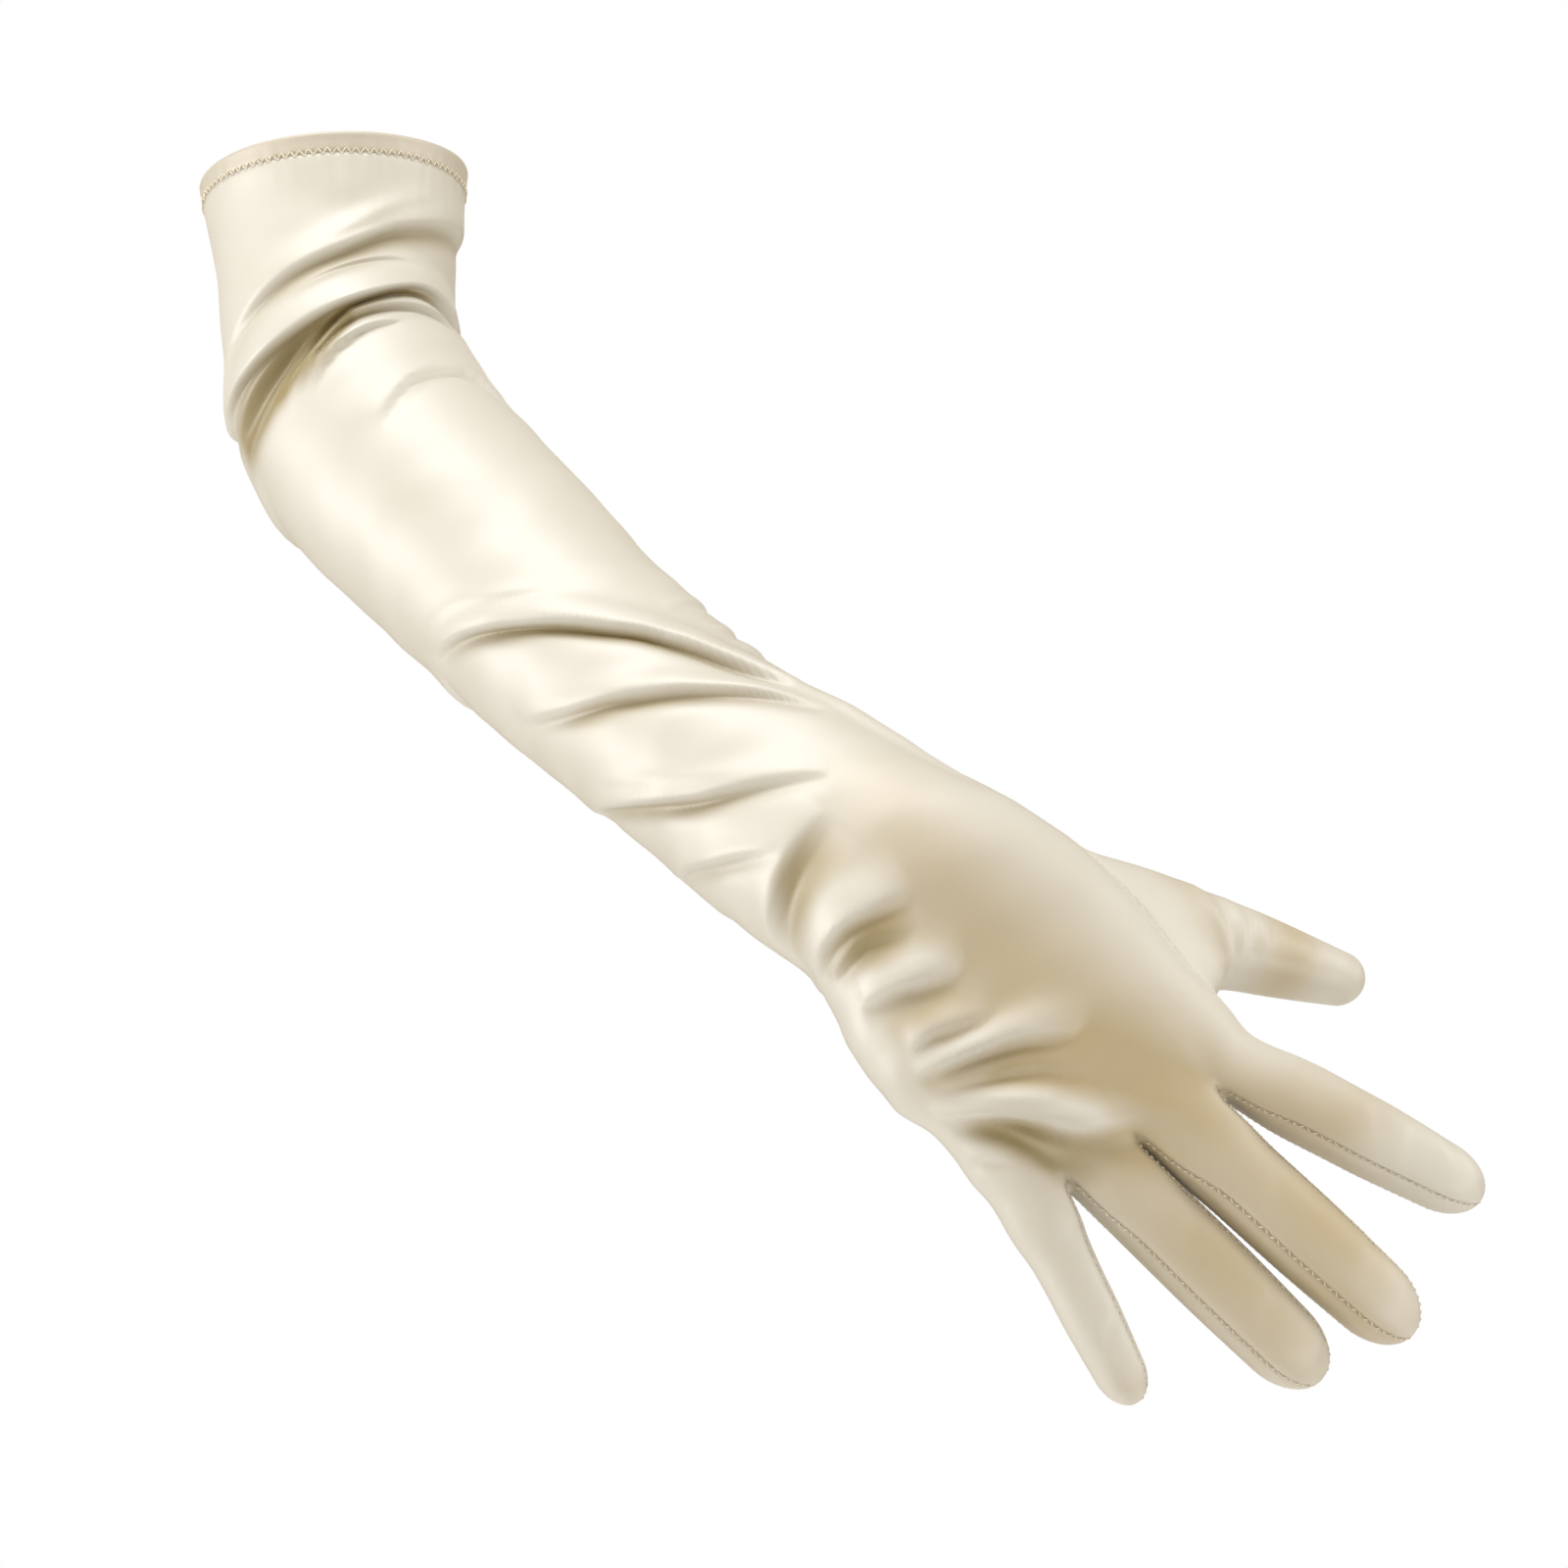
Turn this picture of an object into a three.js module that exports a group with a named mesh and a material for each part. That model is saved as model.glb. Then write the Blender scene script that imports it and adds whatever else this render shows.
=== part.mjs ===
// Opera-length evening glove for the right hand, worn shape, millimetres.
// The origin is the middle of the cuff's mouth, +Z runs up the arm and +X to the thumb's side.
// The back of the hand looks towards -Y, which is called front here.
import * as THREE from "three";

// Driving dimensions
const UPPER_ARM_LENGTH = 66;
const FOREARM_LENGTH = 221;
const PALM_LENGTH = 92.5;
const CUFF_WIDTH = 72;
const ARM_WIDTH = 66;
const ARM_DEPTH = 67;
const WRIST_WIDTH = 64.5;
const WRIST_DEPTH = 49;
const HAND_BREADTH = 80;
const HAND_DEPTH = 37;
const INDEX_LENGTH = 73.5;
const MIDDLE_LENGTH = 84;
const RING_LENGTH = 81;
const LITTLE_LENGTH = 60;
const THUMB_LENGTH = 75.5;
const CLOTH = 1.2;
const HEM_WALL = 1.9;
const HEM_HEIGHT = 5.5;
const SEAM_GAP = 0.36;
const FOLD_DEPTH = 4;
const FOLD_WIDTH = 8;

// Mesh density
const FINGER_COLUMNS = 4;
const SIDE_COLUMNS = 2;
const FINGER_ROWS = 7;
const TIP_ROWS = 3;
const THUMB_ROOT_ROWS = 7;
const THUMB_END_ROWS = 4;
const ROUTE_STEPS = 400;
const SLOPE_STEP = 0.5;
const SLIT_TURN = 0.8;

// A short table: the first row names the columns.
function table(names, ...rows) {
  return rows.map((row) => Object.fromEntries(names.map((name, i) => [name, row[i]])));
}

const SATIN = { color: 0xe6ddc8, roughness: 0.42, metalness: 0, side: THREE.FrontSide };

// The arm's path: along counts 0 to 1 on the upper arm, 1 to 2 on the forearm and 2 to 3 on the palm.
// Swing is the angle from straight down to the thumb's side, reach the angle to the front, in degrees.
const ROUTE = table(
  ["along", "swing", "reach", "roll"],
  [0.0, 4, 17.5, 3],
  [0.45, 2, 20, 2],
  [0.7, 8.5, 22.5, 1],
  [0.88, 18, 24.5, 0],
  [1.03, 30, 27, 0],
  [1.12, 39, 28, 0],
  [1.22, 43.5, 29, 0],
  [1.38, 45.5, 30.5, 0],
  [1.56, 50, 32, 0],
  [1.77, 53.5, 32.5, 0],
  [1.93, 55.5, 31, 2],
  [2.03, 54, 24, 4],
  [2.15, 50.5, 14, 6],
  [2.35, 43.5, 8, 8],
  [2.6, 41.5, 5, 9],
  [3.0, 44, 2.5, 9],
);

// Cross-sections: half sizes as shares of the width and depth that they follow.
// Power 2 is an ellipse, and a larger power is squarer.
const SECTIONS = table(
  ["along", "width", "thumb", "little", "depth", "front", "back", "power"],
  [0.0, CUFF_WIDTH, 0.5, 0.5, ARM_DEPTH, 0.537, 0.537, 2],
  [0.07, CUFF_WIDTH, 0.493, 0.494, ARM_DEPTH, 0.53, 0.53, 2],
  [0.3, ARM_WIDTH, 0.503, 0.5, ARM_DEPTH, 0.507, 0.507, 2],
  [0.5, ARM_WIDTH, 0.485, 0.485, ARM_DEPTH, 0.5, 0.5, 2],
  [0.82, ARM_WIDTH, 0.478, 0.485, ARM_DEPTH, 0.507, 0.507, 2],
  [1.07, ARM_WIDTH, 0.505, 0.53, ARM_DEPTH, 0.507, 0.507, 2],
  [1.27, ARM_WIDTH, 0.505, 0.475, ARM_DEPTH, 0.485, 0.485, 2],
  [1.47, ARM_WIDTH, 0.478, 0.448, ARM_DEPTH, 0.463, 0.463, 2],
  [1.65, ARM_WIDTH, 0.455, 0.422, ARM_DEPTH, 0.44, 0.44, 2],
  [1.88, WRIST_WIDTH, 0.515, 0.455, WRIST_DEPTH, 0.55, 0.55, 2.05],
  [2.0, WRIST_WIDTH, 0.538, 0.465, WRIST_DEPTH, 0.5, 0.5, 2.1],
  [2.15, HAND_BREADTH, 0.475, 0.425, HAND_DEPTH, 0.6, 0.6, 2.2],
  [2.28, HAND_BREADTH, 0.505, 0.468, HAND_DEPTH, 0.55, 0.56, 2.25],
  [2.52, HAND_BREADTH, 0.53, 0.5, HAND_DEPTH, 0.49, 0.52, 2.35],
  [2.73, HAND_BREADTH, 0.52, 0.458, HAND_DEPTH, 0.44, 0.46, 2.4],
  [3.0, HAND_BREADTH, 0.51, 0.48, HAND_DEPTH, 0.37, 0.38, 2.45],
);

const HAND_COLUMNS_START = 1.9;
const THUMB_SEAM_START = 2.31;
const THUMB_SEAM_END = 2.84;

// Where the rings of the mesh lie: each row spaces its rings evenly up to its end.
const RING_SPANS = table(
  ["end", "rings"],
  [0.4, 3],
  [1.15, 14],
  [1.35, 4],
  [1.95, 16],
  [THUMB_SEAM_START, 4],
  [THUMB_SEAM_END, 7],
  [3.0, 2],
);

// The line of the finger roots, from the index finger's outer edge to the little finger's.
// Side is a share of half the hand's breadth, forward a share of the palm's length.
const ROOTS = table(
  ["side", "forward"],
  [0.96, 0.025],
  [0.575, 0.055],
  [0, -0.017],
  [-0.54, -0.057],
  [-0.93, -0.125],
);
const ROOT_LINE_START = 2.35;
const KNUCKLE_DIP_START = 2.84;
const KNUCKLE_DIP = 0.06 * HAND_DEPTH;
const WEB_RISE = 0.03 * PALM_LENGTH;

// Fingers: widths as shares of the hand's breadth, thicknesses of its depth, angles in degrees.
// Lean turns to the thumb's side at the root, bend adds to it by the tip, and curl turns to the palm.
const FINGERS = table(
  ["name", "length", "root", "mid", "end", "thick", "lean", "bend", "curl", "roll"],
  ["index", INDEX_LENGTH, 0.262, 0.25, 0.205, 0.52, 19, 0, 9, 15],
  ["middle", MIDDLE_LENGTH, 0.275, 0.28, 0.25, 0.53, 4, 1, 9, 17],
  ["ring", RING_LENGTH, 0.262, 0.27, 0.25, 0.52, 2, 1, 10, 8],
  ["little", LITTLE_LENGTH, 0.22, 0.19, 0.158, 0.44, -17.5, 2, 12, 2],
);
const FINGER_POWER = 2.4;
const FINGER_CORNER = 0.84;
const FINGER_SETTLE = 0.32;
const FINGER_THINNING = 0.14;
const TIP_ROUND = 0.72;
const TIP_OPEN_ROWS = 0.6;
const TIP_SWELL = 0.8;

// The set-in thumb, in the hand's frame at the finger roots, as shares of the palm and hand.
const THUMB = { side: 0.49, deep: -0.22, forward: -0.508, lean: 30, bend: 4, tilt: 20, roll: 20 };
const THUMB_SECTIONS = table(
  ["at", "wide", "thick"],
  [0.5, 0.277, 0.6],
  [0.62, 0.25, 0.56],
  [0.76, 0.212, 0.5],
  [0.9, 0.174, 0.42],
  [1.0, 0.15, 0.36],
);
const THUMB_POWER = 2.1;
const THUMB_SETTLE = 0.5;
const THUMB_TIP_ROUND = 0.5;
const THUMB_ROOT_TURN = 0.4;
const THUMB_ROOT_PUSH = 1.15;
const THUMB_SETTLE_PUSH = 0.9;

// Folds in the sleeve and hand: each path runs from the thumb's side to the little finger's side
// as [along, around], with around in degrees from the thumb's side and 90 at the front.
// Rise and tuck are shares of the fold depth, and spread is a share of the fold width.
const FOLDS = table(
  ["rise", "tuck", "spread", "path"],
  [0.55, 0.5, 0.9, [[0.25, -15], [0.3, 46], [0.5, 90], [0.76, 162]]],
  [0.9, 0.9, 0.9, [[0.8, -50], [0.65, 38], [0.76, 90], [0.84, 135], [0.91, 212]]],
  [0.5, 0.4, 0.9, [[1.04, -20], [0.8, 34], [0.83, 62], [0.93, 90], [1.04, 118]]],
  [0.4, 0.3, 1.2, [[1.15, -40], [1.1, 30], [1.12, 84]]],
  [-0.7, 0, 0.9, [[0.83, -70], [0.82, -20], [0.88, 20]]],
  [0.25, 0.2, 1.2, [[1.0, 118], [1.08, 160], [1.1, 205]]],
  [0.65, 0.6, 1, [[1.98, -4], [1.72, 28], [1.56, 66], [1.44, 105], [1.37, 155]]],
  [0.4, 0.4, 0.9, [[1.84, 22], [1.76, 48], [1.66, 84], [1.53, 142]]],
  [0.35, 0.35, 0.9, [[1.92, 62], [1.84, 90], [1.76, 120], [1.65, 162]]],
  [0.4, 0.3, 0.8, [[1.56, -60], [1.55, -10], [1.59, 30]]],
  [0.4, 0.3, 0.8, [[1.68, -70], [1.63, -15], [1.65, 28]]],
  [0.35, 0.55, 0.9, [[1.96, 78], [1.94, 112], [1.95, 165]]],
  [0.6, 0.45, 0.9, [[2.15, 86], [2.07, 112], [2.05, 165]]],
  [0.35, 0.3, 0.9, [[2.36, 96], [2.28, 116], [2.22, 148]]],
  [0.4, 0.35, 1, [[2.76, 84], [2.57, 106], [2.5, 145]]],
  [0.4, 0.35, 0.8, [[2.98, 88], [2.8, 113], [2.67, 156]]],
);
const FOLD_SAMPLES = 20;
const FOLD_FADE = 0.6;
const STEEP_SIDE = 0.55;
const TUCK_PLACE = 0.9;
const TUCK_SPREAD = 0.5;

const lerp = THREE.MathUtils.lerp;
const clamp = THREE.MathUtils.clamp;
const smoothstep = THREE.MathUtils.smoothstep;
const degToRad = THREE.MathUtils.degToRad;

// A cubic through a table's rows, with slopes taken from the rows on either side.
function smoothColumn(rows, key, value, x) {
  const last = rows.length - 1;
  const slope = (i) => {
    const a = rows[Math.max(i - 1, 0)];
    const b = rows[Math.min(i + 1, last)];
    return (value(b) - value(a)) / (b[key] - a[key]);
  };
  const at = clamp(x, rows[0][key], rows[last][key]);
  let i = 0;
  while (i < last - 1 && rows[i + 1][key] < at) {
    i += 1;
  }
  const span = rows[i + 1][key] - rows[i][key];
  const t = (at - rows[i][key]) / span;
  const blend = 3 * t ** 2 - 2 * t ** 3;
  const near = (t ** 3 - 2 * t ** 2 + t) * slope(i);
  const far = (t ** 3 - t ** 2) * slope(i + 1);
  return lerp(value(rows[i]), value(rows[i + 1]), blend) + span * (near + far);
}

function lengthAt(along) {
  const upper = clamp(along, 0, 1) * UPPER_ARM_LENGTH;
  const fore = clamp(along - 1, 0, 1) * FOREARM_LENGTH;
  return upper + fore + Math.max(along - 2, 0) * PALM_LENGTH;
}

function directionAt(along) {
  const swing = degToRad(smoothColumn(ROUTE, "along", (row) => row.swing, along));
  const reach = degToRad(smoothColumn(ROUTE, "along", (row) => row.reach, along));
  return new THREE.Vector3(
    Math.sin(swing) * Math.cos(reach), -Math.sin(reach), -Math.cos(swing) * Math.cos(reach));
}

// The centre line, summed from short steps along the path.
const centreLine = [new THREE.Vector3()];
for (let i = 0; i < ROUTE_STEPS; i += 1) {
  const from = 3 * i / ROUTE_STEPS;
  const to = 3 * (i + 1) / ROUTE_STEPS;
  const step = directionAt((from + to) / 2).multiplyScalar(lengthAt(to) - lengthAt(from));
  centreLine.push(centreLine[i].clone().add(step));
}

function centreAt(along) {
  const place = clamp(along / 3, 0, 1) * ROUTE_STEPS;
  const i = Math.min(Math.floor(place), ROUTE_STEPS - 1);
  return centreLine[i].clone().lerp(centreLine[i + 1], place - i);
}

// The section's own axes: side to the thumb, front to the back of the hand, forward to the fingertips.
function axesAt(along) {
  const forward = directionAt(along);
  const side = new THREE.Vector3(0, -1, 0).cross(forward).normalize();
  const front = forward.clone().cross(side);
  const roll = degToRad(smoothColumn(ROUTE, "along", (row) => row.roll, along));
  const turnedSide = side.clone().multiplyScalar(Math.cos(roll)).addScaledVector(front, -Math.sin(roll));
  const turnedFront = front.clone().multiplyScalar(Math.cos(roll)).addScaledVector(side, Math.sin(roll));
  return { side: turnedSide, front: turnedFront, forward };
}

function roundedPower(value, power) {
  return Math.sign(value) * Math.abs(value) ** (2 / power);
}

function sectionPoint(along, around) {
  const { side, front } = axesAt(along);
  const half = (size, share) => smoothColumn(SECTIONS, "along", (row) => row[size] * row[share], along);
  const power = smoothColumn(SECTIONS, "along", (row) => row.power, along);
  const cosine = Math.cos(degToRad(around));
  const sine = Math.sin(degToRad(around));
  const wide = half("width", cosine >= 0 ? "thumb" : "little") * roundedPower(cosine, power);
  const deep = half("depth", sine >= 0 ? "front" : "back") * roundedPower(sine, power);
  return centreAt(along).addScaledVector(side, wide).addScaledVector(front, deep);
}

// Folds: a rounded ridge that is gentle towards the elbow and steep towards the hand,
// with a tuck below it.
function foldPlace(along, around) {
  return new THREE.Vector2(lengthAt(along), degToRad(around) * ARM_WIDTH / 2);
}

const foldLines = FOLDS.map((fold) => {
  const points = fold.path.map(([along, around]) => new THREE.Vector3(...foldPlace(along, around), 0));
  const line = new THREE.CatmullRomCurve3(points).getPoints(FOLD_SAMPLES);
  const middle = fold.path[Math.floor(fold.path.length / 2)][1];
  return { ...fold, line, middle };
});

function foldHeight(along, around) {
  let height = 0;
  for (const fold of foldLines) {
    const turn = 360 * Math.round((fold.middle - around) / 360);
    const place = foldPlace(along, around + turn);
    let best = { distance: Infinity, below: 0, share: 0 };
    for (let i = 0; i < FOLD_SAMPLES; i += 1) {
      const a = fold.line[i];
      const b = fold.line[i + 1];
      const runX = b.x - a.x;
      const runY = b.y - a.y;
      const dot = (place.x - a.x) * runX + (place.y - a.y) * runY;
      const t = clamp(dot / (runX ** 2 + runY ** 2), 0, 1);
      const offX = place.x - a.x - t * runX;
      const offY = place.y - a.y - t * runY;
      const distance = Math.hypot(offX, offY);
      if (distance < best.distance) {
        const below = Math.sign(runY * offX - runX * offY) * distance;
        best = { distance, below, share: (i + t) / FOLD_SAMPLES };
      }
    }
    const spread = fold.spread * FOLD_WIDTH;
    const fade = Math.sin(Math.PI * best.share) ** FOLD_FADE;
    const steep = best.below > 0 ? STEEP_SIDE : 1;
    const ridge = fold.rise * Math.exp(-((best.below / (steep * spread)) ** 2));
    const fromTuck = (best.below - TUCK_PLACE * spread) / (TUCK_SPREAD * spread);
    const tuck = fold.tuck * Math.exp(-(fromTuck ** 2));
    height += FOLD_DEPTH * fade * (ridge - tuck);
  }
  return height;
}

// Ring columns: the fronts of four fingers, the little finger's side, their backs, the thumb's side.
const frontEnd = 4 * FINGER_COLUMNS;
const littleEnd = frontEnd + SIDE_COLUMNS;
const backEnd = littleEnd + 4 * FINGER_COLUMNS;
const ringColumns = backEnd + SIDE_COLUMNS;

function angleOfSide(side, power) {
  return THREE.MathUtils.radToDeg(Math.acos(Math.sign(side) * Math.abs(side) ** (power / 2)));
}

// How far across the fingers a column lies, 0 at the index finger's edge to 4 at the little finger's.
function fingersAcross(column) {
  if (column <= frontEnd) {
    return column / FINGER_COLUMNS;
  }
  if (column <= littleEnd) {
    return 4;
  }
  return Math.max(4 - (column - littleEnd) / FINGER_COLUMNS, 0);
}

function rootColumn(key, across) {
  const i = Math.min(Math.floor(across), 3);
  return lerp(ROOTS[i][key], ROOTS[i + 1][key], across - i);
}

function aroundOf(column, along) {
  const even = (column + SIDE_COLUMNS / 2) * 360 / ringColumns;
  const power = smoothColumn(SECTIONS, "along", (row) => row.power, along);
  const angle = angleOfSide(rootColumn("side", fingersAcross(column)), power);
  let hand = column <= frontEnd ? angle : 360 - angle;
  if (column > frontEnd && column < littleEnd) {
    hand = lerp(angle, 360 - angle, (column - frontEnd) / SIDE_COLUMNS);
  }
  if (column > backEnd) {
    hand = lerp(360 - angle, 360 + angle, (column - backEnd) / SIDE_COLUMNS);
  }
  return lerp(even, hand, smoothstep(along, HAND_COLUMNS_START, THUMB_SEAM_START));
}

// The outer surface, one cage of quads for every piece
const points = [];
const faces = [];

function addPoint(point) {
  points.push(point);
  return points.length - 1;
}

function addFace(a, b, c, d, piece) {
  faces.push({ corners: [a, b, c, d], piece });
}

function palmShift(column, along) {
  const across = fingersAcross(column);
  const forward = rootColumn("forward", across) * PALM_LENGTH * smoothstep(along, ROOT_LINE_START, 3);
  const nearRoot = Math.abs(across - Math.round(across));
  const inner = across > 0.5 && across < 3.5 ? Math.cos(Math.PI * nearRoot) ** 2 : 0;
  const onBack = column > littleEnd && column < backEnd;
  const dip = (onBack ? 1 : -1) * KNUCKLE_DIP * inner * smoothstep(along, KNUCKLE_DIP_START, 3);
  const { front, forward: ahead } = axesAt(along);
  return ahead.multiplyScalar(forward).addScaledVector(front, dip);
}

function ringPoint(column, along) {
  const around = aroundOf(column, along);
  const near = sectionPoint(along, around);
  const across = sectionPoint(along, around + SLOPE_STEP).sub(sectionPoint(along, around - SLOPE_STEP));
  const away = across.cross(directionAt(along)).normalize();
  return near.addScaledVector(away, foldHeight(along, around)).add(palmShift(column, along));
}

const hemRings = 2;
const ringPlaces = [0];
for (let i = 1; i <= hemRings; i += 1) {
  ringPlaces.push(i / hemRings * HEM_HEIGHT / UPPER_ARM_LENGTH);
}
for (const span of RING_SPANS) {
  const from = ringPlaces[ringPlaces.length - 1];
  for (let i = 1; i <= span.rings; i += 1) {
    ringPlaces.push(lerp(from, span.end, i / span.rings));
  }
}
const rings = ringPlaces.map((along) => {
  const ring = [];
  for (let column = 0; column < ringColumns; column += 1) {
    ring.push(addPoint(ringPoint(column, along)));
  }
  return ring;
});

const thumbFirstRow = ringPlaces.indexOf(THUMB_SEAM_START);
const thumbLastRow = ringPlaces.indexOf(THUMB_SEAM_END);
const thumbFirstColumn = backEnd - FINGER_COLUMNS;
const thumbLastColumn = ringColumns - SIDE_COLUMNS / 2;

function inThumbHole(row, column) {
  const rowInside = row >= thumbFirstRow && row < thumbLastRow;
  return rowInside && column >= thumbFirstColumn && column < thumbLastColumn;
}

function addSleeveAndPalm() {
  for (let row = 0; row + 1 < rings.length; row += 1) {
    for (let column = 0; column < ringColumns; column += 1) {
      const next = (column + 1) % ringColumns;
      if (!inThumbHole(row, column)) {
        const piece = row < hemRings ? "cuff_hem" : "glove_trank";
        addFace(rings[row][column], rings[row][next], rings[row + 1][next], rings[row + 1][column], piece);
      }
    }
  }
}

// The hand's frame at the finger roots carries the fingers and the thumb.
const hand = { ...axesAt(3), centre: centreAt(3) };

function turned(lean, curl, roll) {
  const a = degToRad(lean);
  const b = degToRad(curl);
  const c = degToRad(roll);
  const ahead = hand.forward.clone().multiplyScalar(Math.cos(a)).addScaledVector(hand.side, Math.sin(a));
  const side = hand.side.clone().multiplyScalar(Math.cos(a)).addScaledVector(hand.forward, -Math.sin(a));
  const forward = ahead.clone().multiplyScalar(Math.cos(b)).addScaledVector(hand.front, -Math.sin(b));
  const front = hand.front.clone().multiplyScalar(Math.cos(b)).addScaledVector(ahead, Math.sin(b));
  return {
    forward,
    side: side.clone().multiplyScalar(Math.cos(c)).addScaledVector(front, -Math.sin(c)),
    front: front.clone().multiplyScalar(Math.cos(c)).addScaledVector(side, Math.sin(c)),
  };
}

// Rings of a finger or thumb up to its rounded tip: the share of its length and the section's size there.
function tipStations(length, tipLength, start, rows, tipRows) {
  const bodyEnd = 1 - tipLength / length;
  const stations = [];
  for (let i = 1; i <= rows; i += 1) {
    stations.push({ at: lerp(start, bodyEnd, i / rows), size: 1 });
  }
  for (let i = 1; i <= tipRows; i += 1) {
    const turn = Math.PI / 2 * i / (tipRows + TIP_OPEN_ROWS);
    stations.push({ at: lerp(bodyEnd, 1, Math.sin(turn)), size: Math.cos(turn) });
  }
  return stations;
}

// The end of a tube closes with a grid of quads whose border is the last ring.
function addCap(ring, columns, rowsDeep, apex, piece) {
  const corner = (i, j) => {
    if (j === 0) {
      return ring[i];
    }
    if (i === columns) {
      return ring[columns + j];
    }
    if (j === rowsDeep) {
      return ring[columns + rowsDeep + (columns - i)];
    }
    if (i === 0) {
      return ring[2 * columns + rowsDeep + (rowsDeep - j)];
    }
    return undefined;
  };
  const grid = [];
  for (let i = 0; i <= columns; i += 1) {
    grid.push([]);
    for (let j = 0; j <= rowsDeep; j += 1) {
      const border = corner(i, j);
      if (border !== undefined) {
        grid[i].push(border);
      } else {
        const left = points[corner(0, j)];
        const right = points[corner(columns, j)];
        const near = points[corner(i, 0)];
        const far = points[corner(i, rowsDeep)];
        const middle = left.clone().lerp(right, i / columns).add(near.clone().lerp(far, j / rowsDeep));
        const bulge = Math.sin(Math.PI * i / columns) * Math.sin(Math.PI * j / rowsDeep);
        grid[i].push(addPoint(middle.multiplyScalar(0.5).lerp(apex, TIP_SWELL * bulge)));
      }
    }
  }
  for (let i = 0; i < columns; i += 1) {
    for (let j = 0; j < rowsDeep; j += 1) {
      addFace(grid[i][j], grid[i + 1][j], grid[i + 1][j + 1], grid[i][j + 1], piece);
    }
  }
}

// The webs between the fingers: points from the front to the back at each gap
const lastRing = rings[rings.length - 1];
const webs = [1, 2, 3].map((gap) => {
  const near = points[lastRing[gap * FINGER_COLUMNS]];
  const far = points[lastRing[littleEnd + (4 - gap) * FINGER_COLUMNS]];
  const web = [];
  for (let i = 1; i < SIDE_COLUMNS; i += 1) {
    const point = near.clone().lerp(far, i / SIDE_COLUMNS);
    const rise = WEB_RISE * Math.sin(Math.PI * i / SIDE_COLUMNS);
    web.push(addPoint(point.addScaledVector(hand.forward, rise)));
  }
  return web;
});

function fingerRoot(finger) {
  const ring = [];
  for (let i = 0; i <= FINGER_COLUMNS; i += 1) {
    ring.push(lastRing[finger * FINGER_COLUMNS + i]);
  }
  const littleSide = finger < 3 ? webs[finger] : lastRing.slice(frontEnd + 1, littleEnd);
  ring.push(...littleSide);
  for (let i = 0; i <= FINGER_COLUMNS; i += 1) {
    ring.push(lastRing[(littleEnd + (3 - finger) * FINGER_COLUMNS + i) % ringColumns]);
  }
  const thumbSide = finger > 0 ? [...webs[finger - 1]].reverse() : lastRing.slice(backEnd + 1, ringColumns);
  ring.push(...thumbSide);
  return ring;
}

// Angles round a finger's section: its front, its side to the little finger, its back, its other side.
function fingerAngles() {
  const angles = [];
  const corner = angleOfSide(FINGER_CORNER, FINGER_POWER);
  for (let i = 0; i <= FINGER_COLUMNS; i += 1) {
    angles.push(angleOfSide(FINGER_CORNER * (1 - 2 * i / FINGER_COLUMNS), FINGER_POWER));
  }
  for (let i = 1; i < SIDE_COLUMNS; i += 1) {
    angles.push(lerp(180 - corner, 180 + corner, i / SIDE_COLUMNS));
  }
  const opposite = angles.map((angle) => angle + 180);
  return [...angles, ...opposite];
}

function tubePoint(centre, axes, wide, thick, angle, power) {
  const cosine = roundedPower(Math.cos(degToRad(angle)), power);
  const sine = roundedPower(Math.sin(degToRad(angle)), power);
  return centre.clone().addScaledVector(axes.side, wide * cosine).addScaledVector(axes.front, thick * sine);
}

function pieceOfFingerFace(finger, column) {
  const size = FINGER_COLUMNS + SIDE_COLUMNS;
  const onLittleSide = column >= FINGER_COLUMNS && column < size;
  const onThumbSide = column >= size + FINGER_COLUMNS;
  if (onLittleSide && finger < 3) {
    return `fourchette_${FINGERS[finger].name}_${FINGERS[finger + 1].name}`;
  }
  if (onThumbSide && finger > 0) {
    return `fourchette_${FINGERS[finger - 1].name}_${FINGERS[finger].name}`;
  }
  return "glove_trank";
}

function addFinger(finger) {
  const row = FINGERS[finger];
  const root = fingerRoot(finger);
  const start = root.reduce((sum, i) => sum.add(points[i]), new THREE.Vector3()).divideScalar(root.length);
  const angles = fingerAngles();
  const half = HAND_BREADTH / 2;
  const tipLength = TIP_ROUND * row.end * HAND_BREADTH;
  const centreOf = (at) => {
    const { forward } = turned(row.lean + row.bend * at / 2, row.curl * at / 2, 0);
    return start.clone().addScaledVector(forward, row.length * at);
  };
  let previous = root;
  for (const station of tipStations(row.length, tipLength, 0, FINGER_ROWS, TIP_ROWS)) {
    const roll = row.roll * smoothstep(station.at, 0, FINGER_SETTLE);
    const axes = turned(row.lean + row.bend * station.at, row.curl * station.at, roll);
    const centre = centreOf(station.at);
    const toMid = lerp(row.root, row.mid, smoothstep(station.at, 0, 0.5));
    const share = lerp(toMid, row.end, smoothstep(station.at, 0.5, 1));
    const thick = row.thick * (1 - FINGER_THINNING * station.at) * HAND_DEPTH / 2 * station.size;
    const settled = smoothstep(station.at, 0, FINGER_SETTLE);
    const ring = angles.map((angle, i) => {
      const own = tubePoint(centre, axes, share * half * station.size, thick, angle, FINGER_POWER);
      const carried = points[root[i]].clone().add(centre).sub(start);
      return addPoint(carried.lerp(own, settled));
    });
    ring.forEach((_, i) => {
      const next = (i + 1) % ring.length;
      addFace(previous[i], previous[next], ring[next], ring[i], pieceOfFingerFace(finger, i));
    });
    previous = ring;
  }
  addCap(previous, FINGER_COLUMNS, SIDE_COLUMNS, centreOf(1), "glove_trank");
}

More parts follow.
